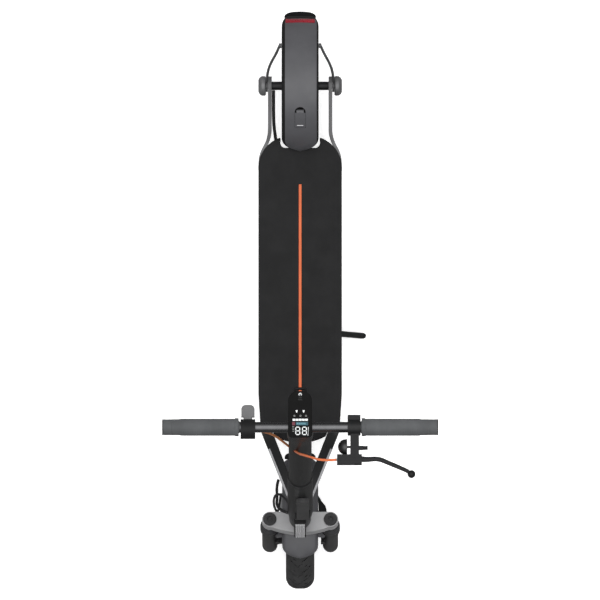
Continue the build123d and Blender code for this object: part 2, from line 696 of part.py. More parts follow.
casting -= up_rod(0, 0, stem_low, socket_floor, 16)
save("stem_base", HEAD * casting)

latch_face = (lever_lx - 4.6, lever_lx + 6)
latch_side = (-7.5, 18.5)
latch_top = 535.0
latch = block(latch_face, latch_side, (lever_t, latch_top))
latch += cross_rod(lever_lx, lever_t, *latch_side, 4.8)
latch_half = (latch_side[1] - latch_side[0]) / 2
latch += Pos(latch_face[0], sum(latch_side) / 2, latch_top) * Rot(0, 90, 0) * Cylinder(
    latch_half, latch_face[1] - latch_face[0], align=(Align.CENTER, Align.CENTER, Align.MIN)
)
latch -= cross_rod(lever_lx, lever_t, -30, 30, latch_pin + running)
save("latch_lever", HEAD * latch)

tube_high = bar_height - 16
stem = up_tube(0, 0, socket_floor + 0.2, tube_high, stem_radius, stem_radius - 2.5)

# ---------------------------------------------------------------- control cables
brake_route = [(69, 75.5, 1100), (70, 47, 1093), (54, 18, 1064), (38, -1, 1018)]
brake_route += [(24, -9, 976), (15, -12, 950)]
lead_route = [(4, -91.8, 1086), (4, -75, 1078), (3, -56, 1044), (6, -38, 1000), (6, -27, 958), (4, -18, 920)]
brake_route = [(x, y, z - 1100 + bar_height) for x, y, z in brake_route]
lead_route = [(x, y, z - 1100 + bar_height) for x, y, z in lead_route]
save("control_cables", HEAD * cable(brake_route, 5.0), HEAD * cable(lead_route, 5.0))
stem -= rod(brake_route[3], brake_route[5], 4.5)
stem -= rod(brake_route[4], brake_route[5], 4.5)
stem -= rod(lead_route[3], lead_route[4], 4.5)
stem -= rod(lead_route[4], lead_route[5], 4.5)
save("stem_tube", HEAD * stem)

loom_route = [(3, -26.2, 298), (-1, -38, 295), (-18, -50, 272), (-44, -48, 244)]
loom_route += [(-68, -50, 236), (-82, -45.2, 238)]
save("wiring_loom", HEAD * cable(loom_route, 6.0))
lower_route = [(-16, -24.6, 304), (-31, -34, 303), (-41, -49, 288), (-37, -56, 256), (-29, -55, 222)]
lower_route += [(-26, -51, 188), (-31, -47, 152), (-52, -44, 116), (-78, -42, 84), (-92, -41, 46)]
save("lower_brake_cable", HEAD * cable(lower_route, 5.0))

# ---------------------------------------------------------------- handlebar
bar_wall = 2.0
bar_half = half_bar - 20
save("handlebar", BAR * cross_tube(0, 0, -bar_half, bar_half, bar_radius, bar_radius - bar_wall))

grip_start = 127.4
grip_end = half_bar - 19
grip = turned(
    [(bar_radius + running, grip_start - 2), (12.6, grip_start - 2), (12.6, grip_start), (18.85, grip_start)]
    + [(18.85, grip_start + 7), (17.75, grip_start + 8.5)]
    + [(17.75, grip_end), (bar_radius + running, grip_end)]
)
save("grips", *[BAR * side for side in both_sides(grip)])
plug_radius = bar_radius - bar_wall - running
bar_end = turned(
    [(0, grip_end - 15), (plug_radius, grip_end - 15), (plug_radius, bar_half + 0.1)]
    + [(15.9, bar_half + 0.1), (15.9, half_bar - 2), (16.9, half_bar - 2), (16.9, half_bar), (0, half_bar)]
)
bar_end -= cross_rod(0, 0, bar_half, grip_end + 0.1, 40) - cross_rod(0, 0, bar_half, grip_end + 0.1, 9)
save("bar_end_lights", *[BAR * side for side in both_sides(bar_end)])

# ---------------------------------------------------------------- dash
dash_half = 25.0
dash_rear = -72.0
dash_front = 27.0
dash_low = -16.0
dash_top = 22.0
glass = 3.0
plan = Pos((dash_rear + dash_front) / 2, 0) * Rectangle(dash_front - dash_rear, 2 * dash_half)
plan = fillet(plan.vertices().group_by(Axis.X)[0], 21)
plan = fillet(plan.vertices().group_by(Axis.X)[-1], 7)
profile = [(dash_front, dash_low), (dash_front, dash_top), (dash_rear, dash_top)]
profile += [(dash_rear, 9), (-30, dash_low)]
dash = side_plate(profile, -dash_half, dash_half) & (Pos(0, 0, dash_low - 1) * extrude(plan, 60))
dash += up_tube(0, 0, -64, dash_low, dash_front, stem_radius + running)
dash -= cross_rod(0, 0, -40, 40, bar_radius + running)
for s in (1, -1):
    dash += rod((-81, s * 11.5, 4), (-50, s * 11.5, 12), 3)
dash += cross_rod(-81, 4, -14.5, 14.5, 3)
button_lx = -64.0
button_radius = 5.5
dash -= up_rod(button_lx, 0, dash_top - 8, dash_top + 1, button_radius + 0.15)
save("dash_housing", BAR * dash)
glass_plan = offset(plan, -0.6)
pane = Pos(0, 0, dash_top) * extrude(glass_plan, glass)
pane -= up_rod(button_lx, 0, dash_top - 1, dash_top + glass + 1, button_radius + 0.15)
save("dash_glass", BAR * pane)
save("power_button", BAR * up_rod(button_lx, 0, dash_top - 6, dash_top + glass, button_radius))

# ---------------------------------------------------------------- brake perch, lever, bell, signal switch
perch_y = (98.4, 125.0)
pivot_lx = 67.0
pivot_y = 121.0
perch = cross_rod(0, 0, *perch_y, 17.5)
perch += block((10, 62), (104, 122), (-8, 8))
perch += block((59, 79), (76.3, 127.8), (-8, 8))
perch += block((-24, -10), perch_y, (-11, 11))
perch -= cross_rod(0, 0, 90, 130, bar_radius + running)
perch -= block((55, 83), (112, 130), (-4.2, 4.2))
perch += up_rod(pivot_lx, pivot_y, -8, 8, 3)
perch -= block((-25, -19.5), (103, 121), (-4.5, 4.5))
bell_pin = (44.0, 126.5)
for z0, z1 in ((-6, -3.3), (3.3, 6)):
    perch += block((bell_pin[0] - 3.5, bell_pin[0] + 3.5), (121, 130), (z0, z1))
perch += up_rod(bell_pin[0], bell_pin[1], -6, 6, 1.5)
save("brake_perch", BAR * perch)

lever_line = [(67, 121), (68.5, 142), (67, 158), (69, 168)]
lever_line += [(73.6, 178), (82.6, 199), (91.6, 220), (99.5, 230.5)]
lever_half = [6.8, 5.5, 5.2, 5.0, 4.8, 4.6, 4.5, 8.3]
blade = Pos(*lever_line[0]) * Circle(lever_half[0])
for (x0, y0), (x1, y1), w0, w1 in zip(lever_line, lever_line[1:], lever_half, lever_half[1:]):
    w1 = min(w0, w1)
    length = hypot(x1 - x0, y1 - y0)
    nx, ny = (y1 - y0) / length, (x0 - x1) / length
    corners = [(x0 + nx * w0, y0 + ny * w0), (x1 + nx * w1, y1 + ny * w1)]
    corners += [(x1 - nx * w1, y1 - ny * w1), (x0 - nx * w0, y0 - ny * w0)]
    blade += make_face(Polyline(*corners, close=True))
    blade += Pos(x1, y1) * Circle(w1)
lever = Pos(0, 0, -3.9) * extrude(blade, 7.8)
lever += Pos(*lever_line[-1], 0) * Sphere(lever_half[-1])
lever -= up_rod(pivot_lx, pivot_y, -10, 10, 3 + running)
save("brake_lever", BAR * lever)

dome = ThreePointArc((0, 78.4), (11.5, 83), (16, 94))
inside = ThreePointArc((0, 80), (10.4, 84.2), (14.5, 94))
cup = make_face(Curve() + [dome, Line((16, 94), (16, 97.3)), Line((16, 97.3), (14.5, 97.3)),
                           Line((14.5, 97.3), (14.5, 94)), inside, Line((0, 80), (0, 78.4))])
bell = revolve(cup, Axis.Y) + cross_rod(0, 0, 79.5, 104, 2.5)
bell_base = cross_tube(0, 0, 94.5, 97.3, 14.2, 2.6)
save("bell_dome", BAR * Pos(42, 0, 0) * bell, BAR * Pos(42, 0, 0) * bell_base)
striker = block((bell_pin[0] - 3.5, bell_pin[0] + 3.5), (bell_pin[1], 140), (-3, 3))
striker += up_rod(*bell_pin, -3, 3, 3.5)
striker -= up_rod(*bell_pin, -4, 4, 1.5 + running)
save("bell_lever", BAR * striker)
switch = block((-23.6, -19.8), (107, 117), (-4.2, 4.2)) + block((-26, -23.6), (108, 116), (-3, 3))
save("signal_switch", BAR * switch)

# ---------------------------------------------------------------- throttle
throttle_y = (-123.4, -93.1)
housing = cross_rod(4, 0, *throttle_y, 20.5)
housing -= cross_rod(0, 0, -130, -80, bar_radius + running)
housing -= cross_rod(0, 0, -119, -98, 16.6)
housing += cross_tube(0, 0, -119.5, -97.5, 12.3, bar_radius + running)
housing -= block((-24, -9), (-118.5, -98.5), (-16.5, 6.2))
save("throttle_housing", BAR * housing)
paddle = cross_tube(0, 0, -117.5, -99.5, 16, 12.6)
paddle += block((-22, -14), (-117.5, -99.5), (-4, 4))
paddle += block((-46.8, -21), (-122, -94.5), (-4, 4))
save("throttle_paddle", BAR * paddle)
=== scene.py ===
import json
from math import acos, atan2, cos, degrees, hypot, pi, radians, sin, sqrt

import bmesh
import bpy
from mathutils import Matrix, Vector

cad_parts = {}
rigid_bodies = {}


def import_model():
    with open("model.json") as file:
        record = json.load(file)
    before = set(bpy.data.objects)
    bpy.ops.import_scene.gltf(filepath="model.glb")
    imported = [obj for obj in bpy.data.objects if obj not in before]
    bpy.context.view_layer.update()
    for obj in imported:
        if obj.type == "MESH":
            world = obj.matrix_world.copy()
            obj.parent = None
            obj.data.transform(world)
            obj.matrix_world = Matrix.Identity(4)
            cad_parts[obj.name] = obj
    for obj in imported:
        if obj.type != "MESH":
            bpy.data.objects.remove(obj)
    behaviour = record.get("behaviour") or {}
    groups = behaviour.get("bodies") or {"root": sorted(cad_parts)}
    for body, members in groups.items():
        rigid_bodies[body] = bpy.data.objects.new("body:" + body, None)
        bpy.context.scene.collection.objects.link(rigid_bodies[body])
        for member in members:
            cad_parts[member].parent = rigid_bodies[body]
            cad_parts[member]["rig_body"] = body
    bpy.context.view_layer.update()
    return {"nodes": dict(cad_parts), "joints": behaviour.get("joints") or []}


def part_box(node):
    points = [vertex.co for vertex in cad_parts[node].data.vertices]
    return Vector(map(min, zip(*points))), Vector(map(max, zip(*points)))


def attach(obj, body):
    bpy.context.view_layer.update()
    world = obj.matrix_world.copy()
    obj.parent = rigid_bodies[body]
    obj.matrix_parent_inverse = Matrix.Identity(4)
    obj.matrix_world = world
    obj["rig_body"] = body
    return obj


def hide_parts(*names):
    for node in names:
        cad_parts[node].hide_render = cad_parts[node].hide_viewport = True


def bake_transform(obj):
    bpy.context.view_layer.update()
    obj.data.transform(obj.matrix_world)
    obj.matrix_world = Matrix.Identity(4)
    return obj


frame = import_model()
scene = bpy.context.scene

# ---------------------------------------------------------------- places, in millimetres
MM = Matrix.Scale(0.001, 4)
joints = {joint["name"]: joint for joint in frame["joints"]}


def centre(node):
    low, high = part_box(node)
    return (low + high) / 2


FRONT = Matrix.Translation(centre("front_tyre")) @ MM
REAR = Matrix.Translation(centre("rear_tyre")) @ MM
steer_axis = Vector(joints["steering_turn"]["axis"])
steer_point = Vector(joints["steering_turn"]["pos_m"])
steer_forward = Vector((steer_axis.z, 0, -steer_axis.x))
axle_z = centre("front_tyre").z
axle_point = steer_point - steer_axis * ((steer_point.z - axle_z) / steer_axis.z)
turn = Matrix((steer_forward, (0, 1, 0), steer_axis)).transposed().to_4x4()
HEAD = Matrix.Translation(axle_point) @ turn @ MM
bar_height = 1000 * (Vector(joints["throttle_press"]["pos_m"]) - axle_point).dot(steer_axis)
BAR = HEAD @ Matrix.Translation((0, 0, bar_height))
wheel_radius = 500 * (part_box("front_tyre")[1].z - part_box("front_tyre")[0].z)
tyre_half = 500 * (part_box("front_tyre")[1].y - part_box("front_tyre")[0].y)


# ---------------------------------------------------------------- materials
def new_material(name):
    made = bpy.data.materials.new(name)
    made.use_nodes = True
    return made, made.node_tree, made.node_tree.nodes["Principled BSDF"]


def node(tree, kind, **settings):
    made = tree.nodes.new(kind)
    for key, value in settings.items():
        if key in made.inputs:
            made.inputs[key].default_value = value
        else:
            setattr(made, key, value)
    return made


def noise_texture(tree, scale, detail=3.0, roughness=0.5):
    place = node(tree, "ShaderNodeTexCoord")
    made = node(tree, "ShaderNodeTexNoise", Scale=scale, Detail=detail, Roughness=roughness)
    tree.links.new(place.outputs["Object"], made.inputs["Vector"])
    return made


def ramp(tree, source, low, high, low_at=0.35, high_at=0.65):
    made = node(tree, "ShaderNodeValToRGB")
    made.color_ramp.elements[0].position = low_at
    made.color_ramp.elements[0].color = (*low, 1)
    made.color_ramp.elements[1].position = high_at
    made.color_ramp.elements[1].color = (*high, 1)
    tree.links.new(source, made.inputs["Fac"])
    return made


def spread(tree, source, low, high):
    made = node(tree, "ShaderNodeMapRange")
    made.inputs["From Min"].default_value = 0.3
    made.inputs["From Max"].default_value = 0.7
    made.inputs["To Min"].default_value = low
    made.inputs["To Max"].default_value = high
    tree.links.new(source, made.inputs["Value"])
    return made


def finish(name, colour, rough, metal=0.0, specular=0.5, grain=1400, bump=0.12, wear=None, vary=0.12,
           coat=0.0, depth=0.00008):
    """Mottled colour, uneven gloss, fine grain in relief and, where wear is a colour, rubbed edges."""
    made, tree, shader = new_material(name)
    broad = noise_texture(tree, 26, 4)
    fine = noise_texture(tree, grain, 2)
    darker = [c * (1 - vary) for c in colour]
    lighter = [min(1, c * (1 + vary)) for c in colour]
    tint = ramp(tree, broad.outputs["Fac"], darker, lighter)
    tree.links.new(tint.outputs["Color"], shader.inputs["Base Color"])
    gloss = spread(tree, fine.outputs["Fac"], max(0.03, rough - 0.06), min(1, rough + 0.06))
    tree.links.new(gloss.outputs["Result"], shader.inputs["Roughness"])
    shader.inputs["Metallic"].default_value = metal
    shader.inputs["Specular IOR Level"].default_value = specular
    if coat:
        shader.inputs["Coat Weight"].default_value = coat
        shader.inputs["Coat Roughness"].default_value = 0.12
    relief = node(tree, "ShaderNodeBump", Strength=bump, Distance=depth)
    tree.links.new(fine.outputs["Fac"], relief.inputs["Height"])
    tree.links.new(relief.outputs["Normal"], shader.inputs["Normal"])
    if wear:
        shape = node(tree, "ShaderNodeNewGeometry")
        edges = ramp(tree, shape.outputs["Pointiness"], (0, 0, 0), (1, 1, 1), 0.62, 0.76)
        patches = ramp(tree, noise_texture(tree, 60, 5, 0.7).outputs["Fac"], (0, 0, 0), (0.4, 0.4, 0.4),
                       0.45, 0.7)
        both = node(tree, "ShaderNodeMath", operation="MULTIPLY")
        tree.links.new(edges.outputs["Color"], both.inputs[0])
        tree.links.new(patches.outputs["Color"], both.inputs[1])
        mix = node(tree, "ShaderNodeMix", data_type="RGBA")
        tree.links.new(both.outputs["Value"], mix.inputs["Factor"])
        tree.links.new(tint.outputs["Color"], mix.inputs[6])
        mix.inputs[7].default_value = (*wear, 1)
        tree.links.new(mix.outputs[2], shader.inputs["Base Color"])
    return made


def brushed(name, colour, rough, stretch):
    """Metal with fine parallel scratches; stretch is the texture's scale along each axis."""
    made, tree, shader = new_material(name)
    place = node(tree, "ShaderNodeTexCoord")
    mapping = node(tree, "ShaderNodeMapping")
    mapping.inputs["Scale"].default_value = stretch
    tree.links.new(place.outputs["Object"], mapping.inputs["Vector"])
    lines = node(tree, "ShaderNodeTexNoise", Scale=1.0, Detail=4.0)
    tree.links.new(mapping.outputs["Vector"], lines.inputs["Vector"])
    tint = ramp(tree, lines.outputs["Fac"], [c * 0.86 for c in colour], [min(1, c * 1.08) for c in colour])
    tree.links.new(tint.outputs["Color"], shader.inputs["Base Color"])
    gloss = spread(tree, lines.outputs["Fac"], rough - 0.08, rough + 0.08)
    tree.links.new(gloss.outputs["Result"], shader.inputs["Roughness"])
    relief = node(tree, "ShaderNodeBump", Strength=0.1, Distance=0.00005)
    tree.links.new(lines.outputs["Fac"], relief.inputs["Height"])
    tree.links.new(relief.outputs["Normal"], shader.inputs["Normal"])
    shader.inputs["Metallic"].default_value = 1.0
    return made


def cells(name, colour, rough, size, bump, specular=0.3, vary=0.1):
    """Moulded rubber with a fine pattern of raised cells, size across in metres."""
    made = finish(name, colour, rough, specular=specular, vary=vary)
    tree = made.node_tree
    shader = tree.nodes["Principled BSDF"]
    place = node(tree, "ShaderNodeTexCoord")
    pattern = node(tree, "ShaderNodeTexVoronoi", Scale=1 / size)
    tree.links.new(place.outputs["Object"], pattern.inputs["Vector"])
    relief = node(tree, "ShaderNodeBump", Strength=bump, Distance=0.0003)
    relief.invert = True
    tree.links.new(pattern.outputs["Distance"], relief.inputs["Height"])
    tree.links.new(relief.outputs["Normal"], shader.inputs["Normal"])
    return made


def glowing(name, colour, strength, rough=0.3):
    """Lit marking under the dash glass, a little uneven as behind a diffuser."""
    made, tree, shader = new_material(name)
    soft = noise_texture(tree, 700, 2)
    tint = ramp(tree, soft.outputs["Fac"], [c * 0.85 for c in colour], colour)
    tree.links.new(tint.outputs["Color"], shader.inputs["Base Color"])
    tree.links.new(tint.outputs["Color"], shader.inputs["Emission Color"])
    shader.inputs["Emission Strength"].default_value = strength
    shader.inputs["Roughness"].default_value = rough
    return made


black_wear = (0.16, 0.16, 0.165)
LOOK = {
    "frame": finish("powder_coat_black", (0.012, 0.0122, 0.0128), 0.42, specular=0.3, grain=1600, bump=0.25,
                    wear=black_wear),
    "gloss_black": finish("tube_black", (0.17, 0.17, 0.175), 0.22, metal=1.0, grain=900, bump=0.05),
    # Light grey band laid on the top face along each front arm's outer edge.
    "arm_edge": finish("pale_grey_edge_band", (0.34, 0.34, 0.35), 0.45, metal=0.2, specular=0.5, grain=1800,
                       bump=0.15),
    "rear_plate": finish("rear_plate_grey", (0.13, 0.13, 0.133), 0.4, metal=0.3, grain=1600, bump=0.2),
    "tail": finish("tail_rubber", (0.009, 0.009, 0.0095), 0.8, specular=0.03, grain=1500, bump=0.3),
    "mat": cells("deck_rubber_cells", (0.0165, 0.0165, 0.017), 0.8, 0.0016, 0.35, 0.2),
    "inlay": finish("orange_rubber_strip", (0.62, 0.135, 0.05), 0.55, specular=0.35, grain=1800, bump=0.2,
                    vary=0.06),
    "steel": brushed("brushed_steel", (0.42, 0.42, 0.43), 0.33, (500, 500, 60)),
    "dark_steel": finish("phosphated_steel", (0.05, 0.05, 0.052), 0.42, metal=0.8, bump=0.15),
    "plastic": finish("moulded_black_plastic", (0.0105, 0.0105, 0.011), 0.5, specular=0.22, grain=2200,
                      bump=0.3),
    "satin_plastic": finish("satin_black_plastic", (0.010, 0.010, 0.0105), 0.3, specular=0.2, grain=2200,
                            bump=0.12),
    "fender": finish("fender_grey_plastic", (0.072, 0.072, 0.078), 0.36, specular=0.5, grain=2400,
                     bump=0.14, vary=0.07),
    "fender_skirt": finish("fender_black_skirt", (0.010, 0.010, 0.0105), 0.5, specular=0.15, grain=2000,
                           bump=0.2),
    "stay": finish("stay_grey_paint", (0.085, 0.085, 0.088), 0.38, metal=0.3, grain=1500, bump=0.15,
                   wear=(0.3, 0.3, 0.3)),
    "cap": finish("cap_grey_cast", (0.2, 0.2, 0.205), 0.42, metal=0.6, grain=1200, bump=0.25,
                  wear=(0.4, 0.4, 0.4)),
    "tyre": finish("tyre_rubber", (0.03, 0.03, 0.0305), 0.6, specular=0.35, grain=1100, bump=0.3, vary=0.2),
    # Groove faces: the same rubber painted near black, a painted shade inside the tread's grooves.
    "groove": finish("tyre_groove_painted_shade", (0.003, 0.003, 0.003), 0.9, specular=0.05, grain=1100, bump=0.2),
    "rim": finish("rim_dark_cast", (0.035, 0.035, 0.037), 0.4, metal=0.5, grain=1300, bump=0.2,
                  wear=(0.2, 0.2, 0.2)),
    "crown": finish("crown_blasted_alloy", (0.42, 0.42, 0.427), 0.46, metal=0.55, grain=1700, bump=0.3,
                    vary=0.05,
                    wear=(0.42, 0.42, 0.42)),
    "chrome": brushed("hard_chrome", (0.62, 0.62, 0.64), 0.14, (300, 300, 40)),
    "fork": finish("fork_dark_anodised", (0.04, 0.04, 0.042), 0.36, metal=0.45, grain=1500, bump=0.15,
                   wear=(0.2, 0.2, 0.2)),
    "cap_black": finish("cap_black_anodised", (0.026, 0.026, 0.027), 0.38, metal=0.4, grain=1500, bump=0.12),
    "grip": cells("grip_rubber_cells", (0.082, 0.085, 0.088), 0.62, 0.0011, 0.3, 0.2),
    "lever": finish("lever_black_paint", (0.010, 0.010, 0.0105), 0.33, specular=0.3, grain=1600, bump=0.12,
                    wear=black_wear),
    "latch": finish("latch_grey_paint", (0.042, 0.042, 0.043), 0.45, specular=0.3, grain=1600, bump=0.2,
                    wear=black_wear),
    "bell": finish("bell_gloss_black", (0.006, 0.006, 0.006), 0.16, specular=0.8, grain=500, bump=0.03,
                   coat=0.5),
    "cable_orange": finish("cable_orange_sheath", (0.66, 0.165, 0.06), 0.32, specular=0.5, grain=900,
                           bump=0.08, vary=0.06),
    "lead_brown": finish("cable_ochre_sheath", (0.42, 0.16, 0.06), 0.36, specular=0.45, grain=900,
                         bump=0.08, vary=0.08),
    "cable_black": finish("cable_black_sheath", (0.014, 0.014, 0.0145), 0.42, specular=0.45, grain=1300,
                          bump=0.15),
    "paddle": finish("paddle_light_plastic", (0.105, 0.105, 0.107), 0.3, specular=0.4, grain=1800, bump=0.1),
    "glass_black": finish("dash_gloss", (0.0055, 0.0055, 0.0055), 0.2, specular=0.07, grain=600, bump=0.02),
    "battery": finish("battery_shrink_wrap", (0.03, 0.075, 0.2), 0.4, specular=0.5, grain=300, bump=0.3,
                      depth=0.0004),
    "alloy": brushed("controller_alloy", (0.32, 0.32, 0.33), 0.4, (500, 60, 500)),
    "lining": finish("brake_lining", (0.09, 0.075, 0.06), 0.85, specular=0.2, grain=900, bump=0.6),
    "red_lens": finish("tail_light_red", (0.26, 0.009, 0.02), 0.3, specular=0.35, grain=500, bump=0.06,
                       vary=0.1, coat=0.3),
    "white_mark": glowing("mark_white", (0.6, 0.62, 0.62), 0.5),
    "teal_mark": glowing("mark_teal", (0.012, 0.06, 0.08), 0.3),
    "teal_text": glowing("mark_pale_teal", (0.08, 0.2, 0.24), 0.35),
    "red_mark": glowing("mark_red", (0.11, 0.018, 0.03), 0.3),
    "dim_mark": glowing("mark_dim", (0.16, 0.165, 0.16), 0.3),
    "faint_mark": glowing("mark_faint", (0.035, 0.035, 0.035), 0.1),
}


# Opaque light grey in place of clear glass: a painted reflection of the bright reflector behind the lens.
def lens_material():
    made, tree, shader = new_material("ribbed_lens_painted_reflector_shine")
    soft = noise_texture(tree, 500, 2)
    gloss = spread(tree, soft.outputs["Fac"], 0.06, 0.16)
    tree.links.new(gloss.outputs["Result"], shader.inputs["Roughness"])
    tint = ramp(tree, soft.outputs["Fac"], (0.42, 0.42, 0.43), (0.56, 0.56, 0.57))
    tree.links.new(tint.outputs["Color"], shader.inputs["Base Color"])
    shader.inputs["Metallic"].default_value = 0.15
    return made


LOOK["lens"] = lens_material()


# ---------------------------------------------------------------- mesh helpers
def smooth_by_angle(mesh, angle=32):
    mesh.shade_smooth()
    mesh.set_sharp_from_angle(angle=radians(angle))


def add(name, mesh, body, look, stands_for=(), angle=32):
    """Object from the mesh, riding on the body."""
    made = bpy.data.objects.new(name, mesh)
    scene.collection.objects.link(made)
    for each in look if isinstance(look, (list, tuple)) else [look]:
        mesh.materials.append(LOOK[each])
    smooth_by_angle(mesh, angle)
    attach(made, body)
    if stands_for:
        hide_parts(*stands_for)
    return made


def mesh_from(name, points, faces, place, marks=None):
    """Mesh from points in millimetres; marks are the faces' material numbers."""
    made = bpy.data.meshes.new(name)
    made.from_pydata([place @ Vector(point) for point in points], [], faces)
    if marks:
        for face, mark in zip(made.polygons, marks):
            face.material_index = mark
    shape = bmesh.new()
    shape.from_mesh(made)
    bmesh.ops.remove_doubles(shape, verts=shape.verts, dist=1e-6)
    bmesh.ops.recalc_face_normals(shape, faces=shape.faces)
    shape.to_mesh(made)
    shape.free()
    return made


def loft(rings, closed=True, ends=True, mark=None):
    """Points, faces and material numbers of a skin over rings of equally many points."""
    count = len(rings[0])
    points = [point for ring in rings for point in ring]
    faces = []
    marks = []
    across = count if closed else count - 1
    for i in range(len(rings) - 1):
        for j in range(across):
            k = (j + 1) % count
            faces.append((i * count + j, i * count + k, (i + 1) * count + k, (i + 1) * count + j))
            marks.append(mark(i, j) if mark else 0)
    if ends:
        faces.append(tuple(range(count)))
        faces.append(tuple(range((len(rings) - 1) * count, len(rings) * count)))
        marks += [marks[0], marks[-1]]
    return points, faces, marks


def turn_profile(profile, steps, mark=None):
    """Closed ring of a (radius, y) profile turned about Y."""
    rings = []
    for n in range(steps):
        angle = 2 * pi * n / steps
        rings.append([(r * cos(angle), y, r * sin(angle)) for r, y in profile])
    rings.append(rings[0])
    return loft(rings, closed=True, ends=False, mark=mark)


def arc(a, b, c, count):
    """Points from a to c along the circle through a, b and c."""
    (ax, ay), (bx, by), (cx, cy) = a, b, c
    d = 2 * (ax * (by - cy) + bx * (cy - ay) + cx * (ay - by))
    ux = ((ax**2 + ay**2) * (by - cy) + (bx**2 + by**2) * (cy - ay) + (cx**2 + cy**2) * (ay - by)) / d
    uy = ((ax**2 + ay**2) * (cx - bx) + (bx**2 + by**2) * (ax - cx) + (cx**2 + cy**2) * (bx - ax)) / d
    radius = hypot(ax - ux, ay - uy)
    start, middle, end = (atan2(y - uy, x - ux) for x, y in (a, b, c))
    sweep = (end - start) % (2 * pi)
    if (middle - start) % (2 * pi) > sweep:
        sweep -= 2 * pi
    turns = [start + sweep * n / (count - 1) for n in range(count)]
    return [(ux + radius * cos(t), uy + radius * sin(t)) for t in turns]


def bevel(obj, width, segments=3, angle=30, mark=-1):
    """Rounded edges, width in millimetres."""
    made = obj.modifiers.new("edge", "BEVEL")
    made.width = width / 1000
    made.segments = segments
    made.limit_method = "ANGLE"
    made.angle_limit = radians(angle)
    made.use_clamp_overlap = True
    made.harden_normals = True
    made.material = mark
    return made


def clean_copy(name, source):
    """The CAD mesh with its flat faces whole again."""
    old = frame["nodes"][source].data
    made = bpy.data.meshes.new(name)
    made.from_pydata([v.co for v in old.vertices], [], [tuple(p.vertices) for p in old.polygons])
    shape = bmesh.new()
    shape.from_mesh(made)
    bmesh.ops.remove_doubles(shape, verts=shape.verts, dist=2e-6)
    bmesh.ops.dissolve_limit(shape, angle_limit=radians(0.5), verts=shape.verts, edges=shape.edges)
    bmesh.ops.recalc_face_normals(shape, faces=shape.faces)
    shape.to_mesh(made)
    shape.free()
    return made


def refine(source, look, width=0.8, segments=3, angle=32):
    """The CAD node's shape with rounded edges, in place of the node."""
    body = frame["nodes"][source]["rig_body"]
    made = add(f"{source}_finished", clean_copy(f"{source}_finished", source), body, look, (source,))
    if width:
        bevel(made, width, segments, angle)
    return made


def paint(source, look):
    """Gives the CAD node's own object a material."""
    data = frame["nodes"][source].data
    data.materials.clear()
    data.materials.append(LOOK[look])


def cord(name, points, radius, place, body, look, stands_for=(), other=None):
    """Round cable on one smooth line through the points' control polygon."""
    curve = bpy.data.curves.new(name, "CURVE")
    curve.dimensions = "3D"
    curve.bevel_depth = radius / 1000
    curve.bevel_resolution = 6
    curve.resolution_u = 10
    curve.use_fill_caps = True
    line = curve.splines.new("NURBS")
    line.points.add(len(points) - 1)
    for point, at in zip(line.points, points):
        point.co = (*(place @ Vector(at)), 1)
    line.order_u = 3
    line.use_endpoint_u = True
    made = bpy.data.objects.new(name, curve)
    scene.collection.objects.link(made)
    curve.materials.append(LOOK[look])
    if other:
        mesh = bpy.data.meshes.new_from_object(made)
        bpy.data.objects.remove(made)
        made = bpy.data.objects.new(name, mesh)
        scene.collection.objects.link(made)
        mesh.shade_smooth()
        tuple(other[1])
        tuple(other[2])
        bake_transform(made)
    else:
        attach(made, body)
    if stands_for:
        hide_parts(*stands_for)
    return made


# ---------------------------------------------------------------- tyres
tread_half = 26.0            # of arc length, on each side of the middle
groove_depth = 2.4
groove_pitch = 2 * pi * wheel_radius / 26


def tyre_profile():
    """(radius, y, distance across from the middle) from bead to bead round the outside, then the inside."""
    flat = 8.0
    shoulder = arc((wheel_radius, flat), (wheel_radius - 7.4, tyre_half - 6.8),
                   (wheel_radius - 23, tyre_half), 18)
    wall = arc((wheel_radius - 23, tyre_half), (93.5, tyre_half - 1.4), (84, 23), 8)
    half = [(wheel_radius, flat * n / 7) for n in range(7)] + shoulder + wall[1:]
    distances = [0.0]
    for (r0, y0), (r1, y1) in zip(half, half[1:]):
        distances.append(distances[-1] + hypot(r1 - r0, y1 - y0))
    outside = [(r, -y, -d) for (r, y), d in zip(reversed(half), reversed(distances))]
    outside += [(r, y, d) for (r, y), d in list(zip(half, distances))[1:]]
    inside = [(80, 18, 99), (93, 22.5, 99), (104, 24.5, 99), (114, 17, 99), (117, 0, 99)]
    inside += [(r, -y, d) for r, y, d in reversed(inside[:-1])]
    return outside + inside


def groove(around, across):
    """How deep the tread is cut, 0 to 1, at a place on it."""
    side = 1 if across > 0 else -1
    away = abs(across)
    shift = around + (groove_pitch / 2 if side < 0 else 0)
    phase = shift % groove_pitch
    deep = 0.0
    if 2.5 < away < 24:
        bend = 2 + 0.62 * (away - 2.5) + 0.016 * (away - 2.5) ** 2
        gap = abs(phase - bend)
        deep = max(deep, 1 - gap / 1.35)
    if 8.5 < away < 14.5:
        gap = abs(phase - (groove_pitch * 0.62 + 0.9 * (away - 8.5)))
        deep = max(deep, 1 - gap / 1.25)
    if away < 4:
        gap = abs((around % groove_pitch) - (groove_pitch * 0.8 + 0.8 * across))
        deep = max(deep, 1 - gap / 1.2)
    if 17 < away < 27:
        gap = abs(phase - (groove_pitch * 0.5 + 0.2 * (away - 17)))
        deep = max(deep, 1 - gap / 1.2)
    return min(1.0, max(0.0, 1.6 * deep))


